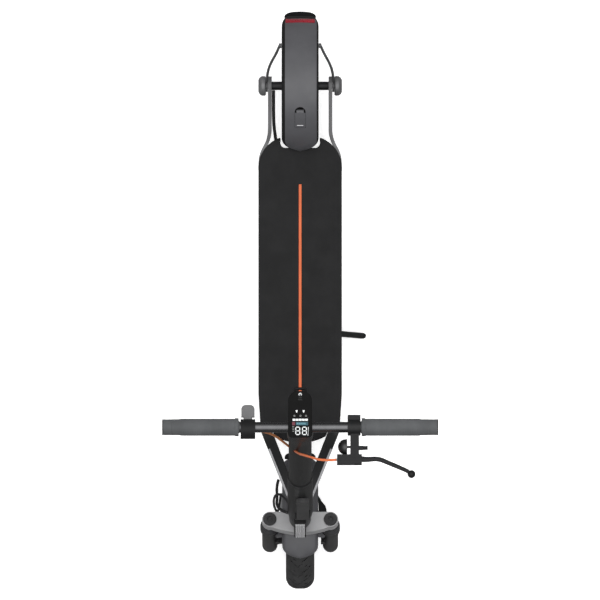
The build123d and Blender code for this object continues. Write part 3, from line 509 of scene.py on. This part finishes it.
def make_tyre(which, place, body):
    profile = tyre_profile()
    steps = 780
    rings = []
    for n in range(steps + 1):
        angle = 2 * pi * (n % steps) / steps
        ring = []
        for r, y, across in profile:
            if abs(across) < tread_half + 1:
                r -= groove_depth * groove(angle * wheel_radius, across)
            elif 43 < abs(across) < 45:
                y += 0.5 if y > 0 else -0.5
            ring.append((r * cos(angle), y, r * sin(angle)))
        rings.append(ring)
    # Faces cut deep into the tread get the near-black groove material: painted shade in the grooves.
    def groove_shade_mark(i, j):
        across = profile[j][2]
        return (1 if abs(across) < tread_half
                and groove(2 * pi * i / steps * wheel_radius, across) > 0.6 else 0)

    points, faces, marks = loft(rings, ends=False, mark=groove_shade_mark)
    mesh = mesh_from(f"{which}_tyre_tread", points, faces, place, marks)
    add(f"{which}_tyre_tread", mesh, body, ["tyre", "groove"], (f"{which}_tyre",), angle=50)


make_tyre("front", FRONT, "front_wheel")
make_tyre("rear", REAR, "rear_wheel")


# ---------------------------------------------------------------- fenders
def channel(half, lift, wall, corner, skirt, skirt_band):
    """Cross-section of a fender as (y, radial) points, round outside then inside."""
    steps = 7
    right = [(half, -skirt), (half, -(skirt + corner) / 2)]
    for n in range(steps + 1):
        angle = radians(90 * n / steps)
        right.append((half - corner + corner * cos(angle), -corner + corner * sin(angle)))
    top = [(y, lift * (1 - (y / max(half - corner, 0.1)) ** 2)) for y in
           [(half - corner) * t for t in (0.96, 0.82, 0.6, 0.3)]]
    outer = right + top + [(0, lift)]
    outer = outer + [(-y, r) for y, r in reversed(outer[:-1])]
    inner_half = half - wall
    inner = [(inner_half, -skirt), (inner_half, -corner), (inner_half - 2, -wall - 1.5),
             (inner_half - 5, -wall)]
    inner += [(0, -wall + lift * 0.5)]
    inner = inner + [(-y, r) for y, r in reversed(inner[:-1])]
    return outer + list(reversed(inner))


def fender_shell(name, place, body, stations, look, stands_for, corner=7, wall=3, lift=1.2, mark=None):
    """Loft of channels.

    A station is (angle, radius, half width, skirt depth).
    """
    rings = []
    for angle, radius, half, skirt in stations:
        a = radians(angle)
        ring = []
        section = channel(half, lift, wall, min(corner, half * 0.8), skirt, 5)
        for y, up in section:
            r = radius - lift + up
            ring.append((r * cos(a), y, r * sin(a)))
        rings.append(ring)
    points, faces, marks = loft(rings, mark=mark)
    mesh = mesh_from(name, points, faces, place, marks)
    return add(name, mesh, body, look, stands_for, angle=38)


rear_outer = 148.0
rear_half = 39.0
front_end_x = 138.3          # tip of the fender over the deck, ahead of the axle
front_round_x = 116.0


def rear_width(angle):
    """Half width of the rear fender, rounded off over the deck and towards the tail."""
    x = rear_outer * cos(radians(angle))
    if x > front_round_x:
        share = (x - front_round_x) / (front_end_x + 0.5 - front_round_x)
        return max(6.0, rear_half * sqrt(max(0.02, 1 - share**2.4)))
    if x < -133:
        share = (-133 - x) / (rear_outer - 133)
        return rear_half - 6.0 * share**2
    return rear_half


rear_front_angle = degrees(acos(front_end_x / rear_outer))
rear_angles = [rear_front_angle + d for d in (0, 0.25, 0.6, 1.2, 2, 3, 4.5, 6, 8, 10.5, 13)]
while rear_angles[-1] < 180:
    rear_angles.append(min(180, rear_angles[-1] + 2.5))
rear_stations = [(a, rear_outer, rear_width(a), 18 if a > 40 else 18 - (40 - a) * 0.1) for a in rear_angles]


def rear_fender_mark(i, j):
    """0 on the grey top, 1 on the black skirt and tail."""
    angle = rear_angles[i]
    if angle > 161.5 or not 7 <= j <= 18:
        return 1
    return 0


fender_shell("rear_fender_shell", REAR, "root", rear_stations, ["fender", "fender_skirt"],
             ("rear_fender",), mark=rear_fender_mark)


def catch_window():
    """Arched slot over the fender catch, cut through the shell."""
    low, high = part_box("fender_hook")
    shell = bpy.data.objects["rear_fender_shell"]
    half = 11.5
    near, far = 1000 * (low.x - REAR.translation.x) - 5, 1000 * (high.x - REAR.translation.x) + 0.5
    outline = [(far, -half), (far, half), (near + half, half)]
    outline += [(near + half - half * cos(radians(a)), half * sin(radians(a))) for a in range(80, -81, -10)]
    outline += [(near + half, -half)]
    count = len(outline)
    points = [(x, y, z) for z in (90, 200) for x, y in outline]
    faces = [tuple(range(count - 1, -1, -1)), tuple(range(count, 2 * count))]
    faces += [(n, (n + 1) % count, count + (n + 1) % count, count + n) for n in range(count)]
    cutter = bpy.data.objects.new("window_cutter", mesh_from("window_cutter", points, faces, REAR))
    scene.collection.objects.link(cutter)
    cut = shell.modifiers.new("window", "BOOLEAN")
    cut.object = cutter
    cut.solver = "EXACT"
    bpy.context.view_layer.update()
    opened = bpy.data.meshes.new_from_object(shell.evaluated_get(bpy.context.evaluated_depsgraph_get()))
    shell.modifiers.clear()
    shell.data = opened
    smooth_by_angle(opened, 38)
    bpy.data.objects.remove(cutter)


catch_window()


def make_flap():
    """Black mud flap under the tail light."""
    rings = []
    for share in (0, 0.12, 0.35, 0.6, 0.8, 0.92, 1):
        x = -144.8 - 10.3 * share
        z = 2 - 34 * share
        half = 33.5 * sqrt(1 - 0.66 * share**3)
        thick = 3.2 - 1.2 * share
        outline = [(half, 0), (half * 0.96, 1.1), (half * 0.6, 2.0), (0, 2.4), (-half * 0.6, 2.0),
                   (-half * 0.96, 1.1), (-half, 0), (-half * 0.96, -thick * 0.6), (0, -thick),
                   (half * 0.96, -thick * 0.6)]
        rings.append([(x - out, y, z) for y, out in outline])
    points, faces, marks = loft(rings)
    add("mud_flap", mesh_from("mud_flap", points, faces, REAR), "root", "tail")


make_flap()


def make_tail_light():
    """Red strip lens with fine vertical ribs, let into the rear fender."""
    rings = []
    count = 63
    for n in range(count):
        y = -31 + 62 * n / (count - 1)
        edge = min(1.0, (31 - abs(y)) / 4 + 0.35)
        rib = 0.25 * (n % 2)
        ring = []
        for angle, up in ((154.4, -1), (154.4, 0.6), (155, 1.2), (158.1, 1.6), (161.1, 1.2), (161.7, 0.6),
                          (161.7, -1)):
            r = rear_outer + (up - rib if up > 0.5 else up) * edge
            ring.append((r * cos(radians(angle)), y, r * sin(radians(angle))))
        rings.append(ring)
    points, faces, marks = loft(rings)
    add("tail_light_lens", mesh_from("tail_light_lens", points, faces, REAR), "root", "red_lens",
        ("tail_light",), angle=25)


make_tail_light()

front_outer = 150.0
front_half = 38.0
front_lip_x = 62.0
front_lip_angle = degrees(acos(front_lip_x / front_outer))


def front_width(angle):
    x = front_outer * cos(radians(angle))
    if x > 38:
        share = (x - 38) / (front_lip_x + 0.6 - 38)
        return max(8.0, front_half * sqrt(max(0.03, 1 - 0.97 * share**2.2)))
    if angle > 160:
        return front_half - 4 * ((angle - 160) / 12) ** 2
    return front_half


front_angles = [front_lip_angle + d for d in (0, 0.2, 0.5, 1, 1.8, 2.8, 4, 5.5, 7.5, 10)]
while front_angles[-1] < 172:
    front_angles.append(min(172, front_angles[-1] + 2.5))
front_stations = [(a, front_outer, front_width(a),
                   14 if a < 92 else min(22, 14 + (a - 92) * 0.8)) for a in front_angles]
fender_shell("front_fender_shell", FRONT, "fork_lowers", front_stations, ["fender", "fender_skirt"],
             ("front_fender",), corner=10, lift=2.2)


def slab(name, outline, low, high, place, body, look, edge=1.2, stands_for=()):
    """Flat piece of the outline's shape between two heights, with rounded edges."""
    count = len(outline)
    points = [(x, y, low) for x, y in outline] + [(x, y, high) for x, y in outline]
    faces = [tuple(range(count - 1, -1, -1)), tuple(range(count, 2 * count))]
    faces += [(n, (n + 1) % count, count + (n + 1) % count, count + n) for n in range(count)]
    made = add(name, mesh_from(name, points, faces, place), body, look, stands_for)
    if edge:
        bevel(made, edge)
    return made


def fender_braces():
    """Wings that carry the front fender on the fork's collars, and its flap behind."""
    collar = 20.4
    mid = 64.0
    for side, name in ((1, "left"), (-1, "right")):
        scoop = [(collar * sin(radians(a)), side * (mid - collar * cos(radians(a)))) for a in range(-62, 63,
                                                                                                    12)]
        outline = [(20, side * (front_half - 2)), (-40, side * (front_half - 2)), (-24, side * 50)] + scoop
        outline += [(22, side * 50)]
        slab(f"fender_brace_{name}", outline, 135.6, 141, HEAD, "fork_lowers", "fender")
    wing = [(-83, front_half - 1), (-70, front_half), (-56, 46), (-47.5, 53), (-40, 55.5), (-20.8, 57),
            (-10, 40)]
    slab("fender_wing", wing, 135.8, 140.8, HEAD, "fork_lowers", "fender_skirt")
    rings = []
    for share in (0, 0.2, 0.5, 0.8, 0.95, 1):
        half = 33 * sqrt(1 - 0.5 * share**4)
        outline = [(half, 0), (half * 0.7, 1.6), (0, 2.2), (-half * 0.7, 1.6), (-half, 0),
                   (-half * 0.7, -1.6), (half * 0.7, -1.6)]
        rings.append([(-147 - 12.5 * share - out, y, 21 - 40 * share) for y, out in outline])
    points, faces, marks = loft(rings)
    add("front_fender_flap", mesh_from("front_fender_flap", points, faces, FRONT), "fork_lowers",
        "fender_skirt")


fender_braces()


# ---------------------------------------------------------------- fender catch
refine("fender_hook", "fender", 0.7)


def catch_lip():
    """Bright lip that the finger lifts, at the free end of the catch."""
    rings = []
    for y in (-7.2, -6.8, -5.5, 5.5, 6.8, 7.2):
        size = 1.5 if abs(y) < 6 else 1.2 if abs(y) < 7 else 0.7
        rings.append([(84.4 + size * cos(pi * n / 6), y,
                       121.7 + 0.8 * size * sin(pi * n / 6)) for n in range(12)])
    points, faces, marks = loft(rings)
    add("catch_lip", mesh_from("catch_lip", points, faces, REAR), "fender_catch", "chrome")


def stay_sleeves():
    """Sleeve of full thickness on each fender stay."""
    for side, name in ((1, "left"), (-1, "right")):
        route = [(-8, 70.4, 9), (-27, 69.6, 30), (-48, 62, 60), (-68, 50, 84), (-83, 43.6, 103)]
        cord(f"stay_{name}", [(x, side * y, z) for x, y, z in route], 2.8, REAR, "root", "stay")


catch_lip()
stay_sleeves()


# ---------------------------------------------------------------- frame, deck and arms
refine("deck_tray", "frame", 1.5)
refine("deck_plate", "frame", 1.2)
refine("deck_mat", "mat", 1.4)
refine("deck_inlay", "inlay", 0.6)
paint("deck_screws", "dark_steel")
paint("battery_pack", "battery")
paint("controller", "alloy")
refine("charge_port", "plastic", 0.6)
refine("head_tube", "frame", 1.0)
paint("headset_bearings", "steel")
refine("kickstand_bracket", "frame", 1.0)
refine("kickstand_leg", "frame", 0.8)
refine("axle_caps", "cap", 1.0)
refine("fender_stays", "stay", 0.5)
paint("motor_stator", "dark_steel")


def pale_edge_band(source, side, width):
    """Bright strip along the bar's outer top edge, a thin closed ribbon lying on the top face."""
    shape = bmesh.new()
    shape.from_mesh(clean_copy("strip_source", source))
    shape.normal_update()
    tops = {}
    runs = []
    for edge in shape.edges:
        if len(edge.link_faces) != 2:
            continue
        a, b = (face.normal for face in edge.link_faces)
        middle = (edge.verts[0].co + edge.verts[1].co) / 2
        in_bore = (middle - REAR.translation).xz.length < 0.012
        for wall, top in ((a, b), (b, a)):
            if side * wall.y > 0.3 and abs(wall.z) < 0.1 and top.z > 0.2 and abs(top.y) < 0.3 and not in_bore:
                runs.append([tuple(1000 * c for c in vertex.co) for vertex in edge.verts])
                for vertex in runs[-1]:
                    up, inward, count = tops.get(vertex, (Vector(), Vector(), 0))
                    tops[vertex] = (up + top, inward - wall, count + 1)
                break
    shape.free()
    points, faces, index = [], [], {}
    for vertex, (up, inward, count) in tops.items():
        up, inward = up.normalized(), inward.normalized()
        edge_point = Vector(vertex)
        index[vertex] = len(points)
        for across in (0.3, width):
            for high in (-0.5, 0.3):
                points.append(tuple(edge_point + inward * across + up * high))
    for start, end in runs:
        i, j = index[start], index[end]
        faces += [(i + m, j + m, j + n, i + n) for m, n in ((0, 1), (1, 3), (3, 2), (2, 0))]
    for vertex, (_, _, count) in tops.items():
        if count == 1:
            i = index[vertex]
            faces.append((i, i + 1, i + 3, i + 2))
    name = f"{source}_strip"
    add(name, mesh_from(name, points, faces, MM), "root", "arm_edge")


for side, name in ((1, "left"), (-1, "right")):
    refine(f"front_arm_{name}", "frame", 1.0)
    refine(f"rear_arm_{name}", "rear_plate", 0.6)
    pale_edge_band(f"front_arm_{name}", side, 4.6)


# ---------------------------------------------------------------- wheels
refine("front_rim", "rim", 0.8)
refine("motor_shell", "rim", 0.8)
paint("front_bearings", "steel")


def cover_bolts():
    """Ring of button-head bolts on each cover of the hub motor."""
    for side, name in ((1, "left"), (-1, "right")):
        points, faces = [], []
        for n in range(9):
            angle = 2 * pi * n / 9
            cx, cz = 50 * cos(angle), 50 * sin(angle)
            rings = []
            for out, radius in ((30.2, 3.6), (32.2, 3.6), (33.4, 2.6), (33.4, 1.5), (32.2, 1.5)):
                rings.append([(cx + radius * cos(pi * k / 9), side * out,
                               cz + radius * sin(pi * k / 9)) for k in range(18)])
            p, f, _ = loft(rings)
            faces += [tuple(i + len(points) for i in face) for face in f]
            points += p
        add(f"hub_bolts_{name}", mesh_from(f"hub_bolts_{name}", points, faces, REAR), "rear_wheel",
            "dark_steel")


cover_bolts()


# ---------------------------------------------------------------- fork and steering
refine("crown", "crown", 1.0)
paint("stanchions", "chrome")
refine("fork_caps", "cap_black", 0.7)
paint("fork_springs", "steel")
refine("fork_sliders", "fork", 1.0)
refine("front_axle", "steel", 0.4)
refine("brake_plate", "fork", 0.6)
paint("brake_shoes", "lining")
refine("brake_arm", "steel", 0.6)
refine("headlight_housing", "plastic", 0.8)
refine("fold_base", "frame", 0.9)
refine("stem_base", "frame", 1.0)
refine("latch_lever", "latch", 1.4)


def make_lens():
    """Ribbed lens of upright half-round ribs, drawn opaque light grey instead of clear: the grey is a painted
    reflection of the bright reflector behind the lens, which is not built.
    """
    low, high = 227.2, 343.5
    ribs = 5
    half = 10.0
    front = 41.3
    outline = []
    for n in range(ribs):
        start = -half + 2 * half * n / ribs
        width = 2 * half / ribs
        for k in range(7):
            angle = pi * k / 6
            outline.append((front - 2.0 + 1.9 * sin(angle),
                            start + width / 2 - width / 2 * 0.94 * cos(angle)))
    outline += [(36.2, half), (36.2, -half)]
    slab("headlight_ribs", outline, low, high, HEAD, "steering", "lens", 0, ("headlight_lens",))


make_lens()


# ---------------------------------------------------------------- stem and bar
paint("stem_tube", "frame")
paint("handlebar", "gloss_black")
refine("dash_housing", "satin_plastic", 1.2)
refine("power_button", "satin_plastic", 0.5)
refine("brake_perch", "lever", 1.3)
refine("throttle_housing", "plastic", 1.2)
paddle = refine("throttle_paddle", "paddle", 0)


def round_tip(piece, radius):
    """Rounds the piece's rearmost upright corners."""
    shape = bmesh.new()
    shape.from_mesh(piece.data)
    rear = min(vertex.co.x for vertex in shape.verts)
    upright = [edge for edge in shape.edges
               if abs((edge.verts[1].co - edge.verts[0].co).normalized().dot(steer_axis)) > 0.99
               and edge.calc_length() > 0.006 and min(v.co.x for v in edge.verts) < rear + 0.003]
    bmesh.ops.bevel(shape, geom=upright, offset=radius / 1000, segments=8, affect="EDGES", profile=0.5,
                    clamp_overlap=True)
    shape.to_mesh(piece.data)
    shape.free()
    smooth_by_angle(piece.data)


round_tip(paddle, 9)
bevel(paddle, 1.2)
refine("signal_switch", "paddle", 0.7)


def make_grips():
    """Ribbed rubber grips: a flange, a body with shallow lengthwise flutes, and a slimmer end."""
    start, end = 125.4, 267.0
    stations = [(start, 12.7), (127.4, 12.7), (127.5, 18.4), (128.3, 18.85), (134.2, 18.85), (135.2, 17.9),
                (136.5, 17.5), (139, 17.6)]
    y = 142
    while y < 246:
        stations += [(y, 17.6), (y + 0.7, 17.75), (y + 2.1, 17.75), (y + 2.8, 17.6)]
        y += 3.6
    stations += [(247, 17.5), (249.5, 16.8), (253, 16.6), (264, 16.6), (end - 0.5, 16.5), (end, 16.0)]
    around = 96
    for side, name in ((1, "left"), (-1, "right")):
        rings = []
        for y, radius in stations:
            fluted = 142 <= y <= 246
            ring = []
            for n in range(around):
                angle = 2 * pi * n / around
                r = radius - (0.22 if fluted and n % 4 == 0 else 0)
                ring.append((r * cos(angle), side * y, r * sin(angle)))
            rings.append(ring)
        rings.append([(11.2 * cos(2 * pi * n / around), side * end,
                       11.2 * sin(2 * pi * n / around)) for n in range(around)])
        rings.append([(11.2 * cos(2 * pi * n / around), side * start,
                       11.2 * sin(2 * pi * n / around)) for n in range(around)])
        rings.append(rings[0])
        points, faces, marks = loft(rings, ends=False)
        add(f"grip_{name}", mesh_from(f"grip_{name}", points, faces, BAR), "stem", "grip",
            ("grips",) if side > 0 else ())


make_grips()


def make_bar_ends():
    """Slim rubber sleeve beyond each grip, closed by a thin black plate."""
    outer = 500 * (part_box("bar_end_lights")[1].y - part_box("bar_end_lights")[0].y)
    for side, name in ((1, "left"), (-1, "right")):
        sleeve = [(11.2, 267.05), (16.2, 267.05), (16.5, 268), (16.3, 276), (16.6, outer - 2.2),
                  (11.2, outer - 2.2)]
        plate = [(0.05, outer - 2.1), (16.2, outer - 2.1), (16.8, outer - 1.6), (16.8, outer - 0.5)]
        plate += [(16.3, outer), (0.05, outer)]
        for kind, profile, look in (("sleeve", sleeve, "grip"), ("plate", plate, "satin_plastic")):
            points, faces, marks = turn_profile([(r, side * y) for r, y in profile], 64)
            title = f"bar_end_{kind}_{name}"
            replaced = ("bar_end_lights",) if (kind, side) == ("plate", 1) else ()
            add(title, mesh_from(title, points, faces, BAR), "stem", look, replaced)


make_bar_ends()


def make_lever():
    """Cast brake lever: a flattened blade with a raised middle, dog-leg and ball end."""
    line = [(67, 121), (68.3, 132), (68.5, 142), (67.4, 151), (67.3, 159), (69.0, 168), (73.6, 178),
            (82.6, 199),
            (91.6, 220), (96.0, 226.5)]
    widths = [6.8, 6.0, 5.3, 5.1, 5.1, 5.0, 4.8, 4.6, 4.2, 4.6]
    rings = []
    for n, ((x, y), half) in enumerate(zip(line, widths)):
        before = line[max(0, n - 1)]
        after = line[min(len(line) - 1, n + 1)]
        length = hypot(after[0] - before[0], after[1] - before[1])
        nx, ny = (after[1] - before[1]) / length, (before[0] - after[0]) / length
        section = [(1, 0), (0.92, 0.55), (0.62, 0.9), (0.25, 1), (-0.25, 1), (-0.62, 0.9), (-0.92, 0.55),
                   (-1, 0),
                   (-0.92, -0.55), (-0.62, -0.9), (0.62, -0.9), (0.92, -0.55)]
        rings.append([(x + nx * half * a, y + ny * half * a, 3.9 * b) for a, b in section])
    points, faces, marks = loft(rings)
    blade = mesh_from("brake_lever_blade", points, faces, BAR)
    made = add("brake_lever_blade", blade, "brake_lever", "lever", ("brake_lever",), angle=60)
    smoother = made.modifiers.new("smooth", "SUBSURF")
    smoother.levels = smoother.render_levels = 2
    ball = []
    for k in range(13):
        angle = pi * k / 12
        ball.append((max(0.05, 8.3 * sin(angle)), -8.3 * cos(angle)))
    rings = [[(99.5 + r * cos(2 * pi * n / 28), 230.5 + r * sin(2 * pi * n / 28),
               z) for n in range(28)] for r, z in ball]
    points, faces, marks = loft(rings)
    add("brake_lever_ball", mesh_from("brake_lever_ball", points, faces, BAR), "brake_lever", "lever")


make_lever()


def make_bell():
    """Small spun dome on its post."""
    profile = arc((0.05, 78.4), (11.5, 83), (16, 94), 14) + [(16.4, 95.2), (16.4, 97.3), (15.0, 97.3),
                                                             (14.5, 94)]
    profile += list(reversed(arc((0.05, 80), (10.4, 84.2), (14.5, 93.9), 10)))
    points, faces, marks = turn_profile(profile, 72)
    place = BAR @ Matrix.Translation((42, 0, 0))
    add("bell_shell", mesh_from("bell_shell", points, faces, place), "stem", "bell",
        ("bell_dome",))
    post = [(0.05, 81), (2.5, 81), (2.5, 94.4), (14.2, 94.5), (14.2, 97.3), (2.5, 97.4), (2.5, 104),
            (0.05, 104)]
    points, faces, marks = turn_profile(post, 40)
    add("bell_post", mesh_from("bell_post", points, faces, place), "stem", "plastic")


make_bell()
refine("bell_lever", "plastic", 1.4)


# ---------------------------------------------------------------- dash face
def dash_glass():
    low, high = -72.0, 27.0
    points = []
    for n in range(17):
        angle = radians(90 + 180 * n / 16)
        points.append((low + 21 + 21 * cos(angle),
                       (25 - 21) * (1 if sin(angle) > 0 else -1) + 21 * sin(angle)))
    points += [(x, y) for x, y in arc((high - 7, -25), (high - 2.05, -22.95), (high, -18), 6)]
    points += [(x, y) for x, y in arc((high, 18), (high - 2.05, 22.95), (high - 7, 25), 6)]
    inset = [(x * 0.994 - 0.1, y * 0.985) for x, y in points]
    slab("dash_face", inset, 22.02, 24.8, BAR, "stem", "glass_black", 1.1, ("dash_glass",))


dash_glass()


def mark(name, shapes, look, top=24.95):
    """Thin lit markings on the dash glass: each shape is an outline in (forward, left)."""
    points, faces = [], []
    for outline in shapes:
        base = len(points)
        count = len(outline)
        points += [(x, y, top - 0.3) for x, y in outline] + [(x, y, top) for x, y in outline]
        faces.append(tuple(base + n for n in range(count)))
        faces.append(tuple(base + count + n for n in range(count)))
        faces += [(base + n, base + (n + 1) % count, base + count + (n + 1) % count, base + count + n)
                  for n in range(count)]
    add(name, mesh_from(name, points, faces, BAR), "stem", look)


def bar_shape(x0, y0, x1, y1):
    return [(x0, y0), (x1, y0), (x1, y1), (x0, y1)]


def seven_segments(x, y, height, width, stroke):
    """Outlines of an 8 whose top left corner is at x and y; height runs forward and width left."""
    s = stroke / 2
    shapes = []
    for level in (0, height / 2, height):
        shapes.append([(x + level, y + s * 0.9), (x + level - s, y + 2 * s),
                       (x + level - s, y + width - 2 * s),
                       (x + level, y + width - s * 0.9), (x + level + s, y + width - 2 * s),
                       (x + level + s, y + 2 * s)])
    for low in (0, height / 2):
        for at in (0.4 * s, width - 0.4 * s):
            a, b = x + low + s * 0.5, x + low + height / 2 - s * 0.5
            shapes.append([(a, at + y), (a + s, at + y - s), (b - s, at + y - s), (b, at + y),
                           (b - s, at + y + s), (a + s, at + y + s)])
    return shapes


def ring_shapes(x, y, outer, inner, start=0, sweep=360, steps=20):
    shapes = []
    for n in range(steps):
        a = radians(start + sweep * n / steps)
        b = radians(start + sweep * (n + 1) / steps)
        shapes.append([(x + outer * cos(a), y + outer * sin(a)), (x + outer * cos(b), y + outer * sin(b)),
                       (x + inner * cos(b), y + inner * sin(b)), (x + inner * cos(a), y + inner * sin(a))])
    return shapes


def dash_marks():
    digits = seven_segments(5.4, -9.4, 15.8, 9.0, 1.9) + seven_segments(5.4, 4.4, 15.8, 9.0, 1.9)
    mark("dash_digits", digits, "white_mark")
    gauge = [bar_shape(-12.4, -15.6 + 6.45 * n, -8.0, -9.9 + 6.45 * n) for n in range(5)]
    mark("dash_gauge", gauge, "white_mark")
    icons = []
    for y, way in ((-7.2, 1), (7.2, 1)):
        icons.append([(-30.5, y - 2.4), (-30.5, y + 2.4), (-25.2, y + 0.6 * way), (-25.2, y - 0.6 * way)])
    icons.append([(16.8, 16.6), (23.0, 15.2), (23.0, 16.6), (5.0, 17.6), (5.0, 16.4)])
    mark("dash_arrows", icons, "white_mark")
    small = []
    for y in (-11.9, 0.7, 12.1):
        small += ring_shapes(-18.6, y, 2.0, 0.9, steps=12)
    for x, y in ((3.6, -16.4), (6.8, -16.4), (10.0, -16.2), (13.6, -16.0)):
        small.append(bar_shape(x, y, x + 1.3, y + 4.2))
    mark("dash_small_marks", small, "dim_mark")
    mark("dash_red_label", [bar_shape(-5.6, -16.6, 1.4, -10.4)], "red_mark")
    mark("dash_teal_label", [bar_shape(-5.6, -8.9, 1.4, 16.4)], "teal_mark", 24.93)
    mark("dash_teal_blocks", [bar_shape(-3.9, -7.2 + 3.9 * n, -0.3, -4.4 + 3.9 * n) for n in range(5)],
         "teal_text", 24.98)
    mark("power_ring", ring_shapes(-64, 0, 3.2, 1.9, 40, 280, 18) + [bar_shape(-67.6, -0.6, -64.4, 0.6)],
         "white_mark", 25.15)
    lines = [bar_shape(-57.2, -3.6, -56.4, 3.6), bar_shape(-53, -4.2, -52.2, 4.2)]
    mark("dash_touch_lines", lines, "faint_mark", 24.92)


dash_marks()

# ---------------------------------------------------------------- cables
brake_route = [(69, 75.5, 0), (70, 47, -7), (54, 18, -36), (38, -1, -82), (24, -9, -124), (15, -12, -150)]
cord("brake_cable", brake_route, 2.5, BAR, "stem", "cable_orange", ("control_cables",))
lead_route = [(4, -91.8, -14), (4, -75, -22), (3, -56, -56), (6, -38, -100), (6, -27, -142), (4, -18, -180)]
cord("throttle_lead", lead_route, 2.5, BAR, "stem", "lead_brown")
motor_route = [(10, -56.2, 2), (34, -56.2, 7), (62, -56.2, 5), (90, -55.2, -1), (118.5, -50.5, 1)]
cord("motor_lead", motor_route, 3.5, REAR, "root", "cable_black", ("motor_cable",))
loom_route = [(3, -26.2, 298), (-1, -38, 295), (-18, -50, 272), (-44, -48, 244), (-68, -50, 236),
              (-82, -45.2, 238)]
loom_ends = (HEAD @ Vector(loom_route[1]), HEAD @ Vector(loom_route[4]))
cord("front_loom", loom_route, 3.0, HEAD, "steering", "cable_black", ("wiring_loom",),
     ("root", *loom_ends))
lower_route = [(-16, -24.6, 304), (-31, -34, 303), (-41, -49, 288), (-37, -56, 256), (-29, -55, 222)]
lower_route += [(-26, -51, 188), (-31, -47, 152), (-52, -44, 116), (-78, -42, 84), (-92, -41, 46)]
lower_ends = (HEAD @ Vector(lower_route[2]), HEAD @ Vector(lower_route[8]))
cord("front_brake_cable", lower_route, 2.5, HEAD, "steering", "cable_black",
     ("lower_brake_cable",),
     ("fork_lowers", *lower_ends))


# ---------------------------------------------------------------- floor, light and camera
def make_floor():
    points = [(-9, -9, 0), (9, -9, 0), (9, 9, 0), (-9, 9, 0)]
    mesh = bpy.data.meshes.new("floor")
    mesh.from_pydata(points, [], [(0, 1, 2, 3)])
    made = bpy.data.objects.new("floor", mesh)
    scene.collection.objects.link(made)
    look, tree, shader = new_material("pale_floor")
    shader.inputs["Base Color"].default_value = (0.93, 0.93, 0.93, 1)
    shader.inputs["Roughness"].default_value = 0.9
    shader.inputs["Specular IOR Level"].default_value = 0.1
    shader.inputs["Emission Color"].default_value = (1, 1, 1, 1)
    shader.inputs["Emission Strength"].default_value = 0.5
    mesh.materials.append(look)
    made.visible_glossy = False


make_floor()


def area_light(name, place, target, size, power):
    data = bpy.data.lights.new(name, "AREA")
    data.shape = "RECTANGLE"
    data.size, data.size_y = size
    data.energy = power
    made = bpy.data.objects.new(name, data)
    made.location = place
    made.rotation_euler = (Vector(target) - Vector(place)).to_track_quat("-Z", "Y").to_euler()
    scene.collection.objects.link(made)
    return made


overhead = area_light("overhead", (0.15, 0, 4.2), (0.15, 0, 0), (2.6, 2.2), 75)
overhead.visible_glossy = False
for side, name in ((1, "left"), (-1, "right")):
    fill = area_light(f"{name}_fill", (0.2, 3.6 * side, 2.4), (0, 0, 0.5), (3.0, 1.6), 24)
    fill.visible_glossy = False
rear_fill = area_light("rear_fill", (-3.0, 0, 1.5), (-0.6, 0, 0.2), (2.0, 1.2), 22)
rear_fill.visible_glossy = False


def studio_world():
    """Soft box straight above for the reflections, dark towards the horizon. The backdrop itself is pale."""
    world = bpy.data.worlds.new("studio")
    world.use_nodes = True
    tree = world.node_tree
    place = node(tree, "ShaderNodeTexCoord")
    up = node(tree, "ShaderNodeVectorMath", operation="DOT_PRODUCT")
    up.inputs[1].default_value = (0, 0, 1)
    tree.links.new(place.outputs["Generated"], up.inputs[0])
    share = node(tree, "ShaderNodeMapRange")
    share.inputs["From Min"].default_value = -1
    tree.links.new(up.outputs["Value"], share.inputs["Value"])
    ramp = node(tree, "ShaderNodeValToRGB")
    scale = 0.5
    stops = ((0.0, 0.15), (0.6, 0.13), (0.78, 0.25), (0.9, 0.8), (0.965, 1.4), (1.0, 1.5))
    elements = ramp.color_ramp.elements
    while len(elements) < len(stops):
        elements.new(0.5)
    for element, (at, level) in zip(elements, stops):
        element.position = at
        element.color = (level * scale, level * scale, level * scale, 1)
    tree.links.new(share.outputs["Result"], ramp.inputs["Fac"])
    strength = node(tree, "ShaderNodeMath", operation="MULTIPLY")
    strength.inputs[1].default_value = 1 / scale
    tree.links.new(ramp.outputs["Color"], strength.inputs[0])
    path = node(tree, "ShaderNodeLightPath")
    pale = node(tree, "ShaderNodeMath", operation="MAXIMUM")
    tree.links.new(path.outputs["Is Camera Ray"], pale.inputs[0])
    tree.links.new(strength.outputs["Value"], pale.inputs[1])
    tree.links.new(pale.outputs["Value"], tree.nodes["Background"].inputs["Strength"])
    tree.nodes["Background"].inputs["Color"].default_value = (1, 1, 1, 1)
    scene.world = world


studio_world()
scene.view_settings.view_transform = "Standard"

view_width = 1.26            # metres across the picture
lens = 1600.0                # long, so the picture is nearly free of perspective
sensor = 36.0
middle_height = 0.45         # where the scale is exact
camera = bpy.data.cameras.new("camera")
camera.lens = lens
camera.sensor_width = sensor
distance = view_width * lens / sensor
camera.clip_start = 1
camera.clip_end = 10 * distance
camera_object = bpy.data.objects.new("camera", camera)
camera_object.location = (0, -0.0003, distance + middle_height)
camera_object.rotation_euler = (0, 0, radians(90))
scene.collection.objects.link(camera_object)
scene.camera = camera_object
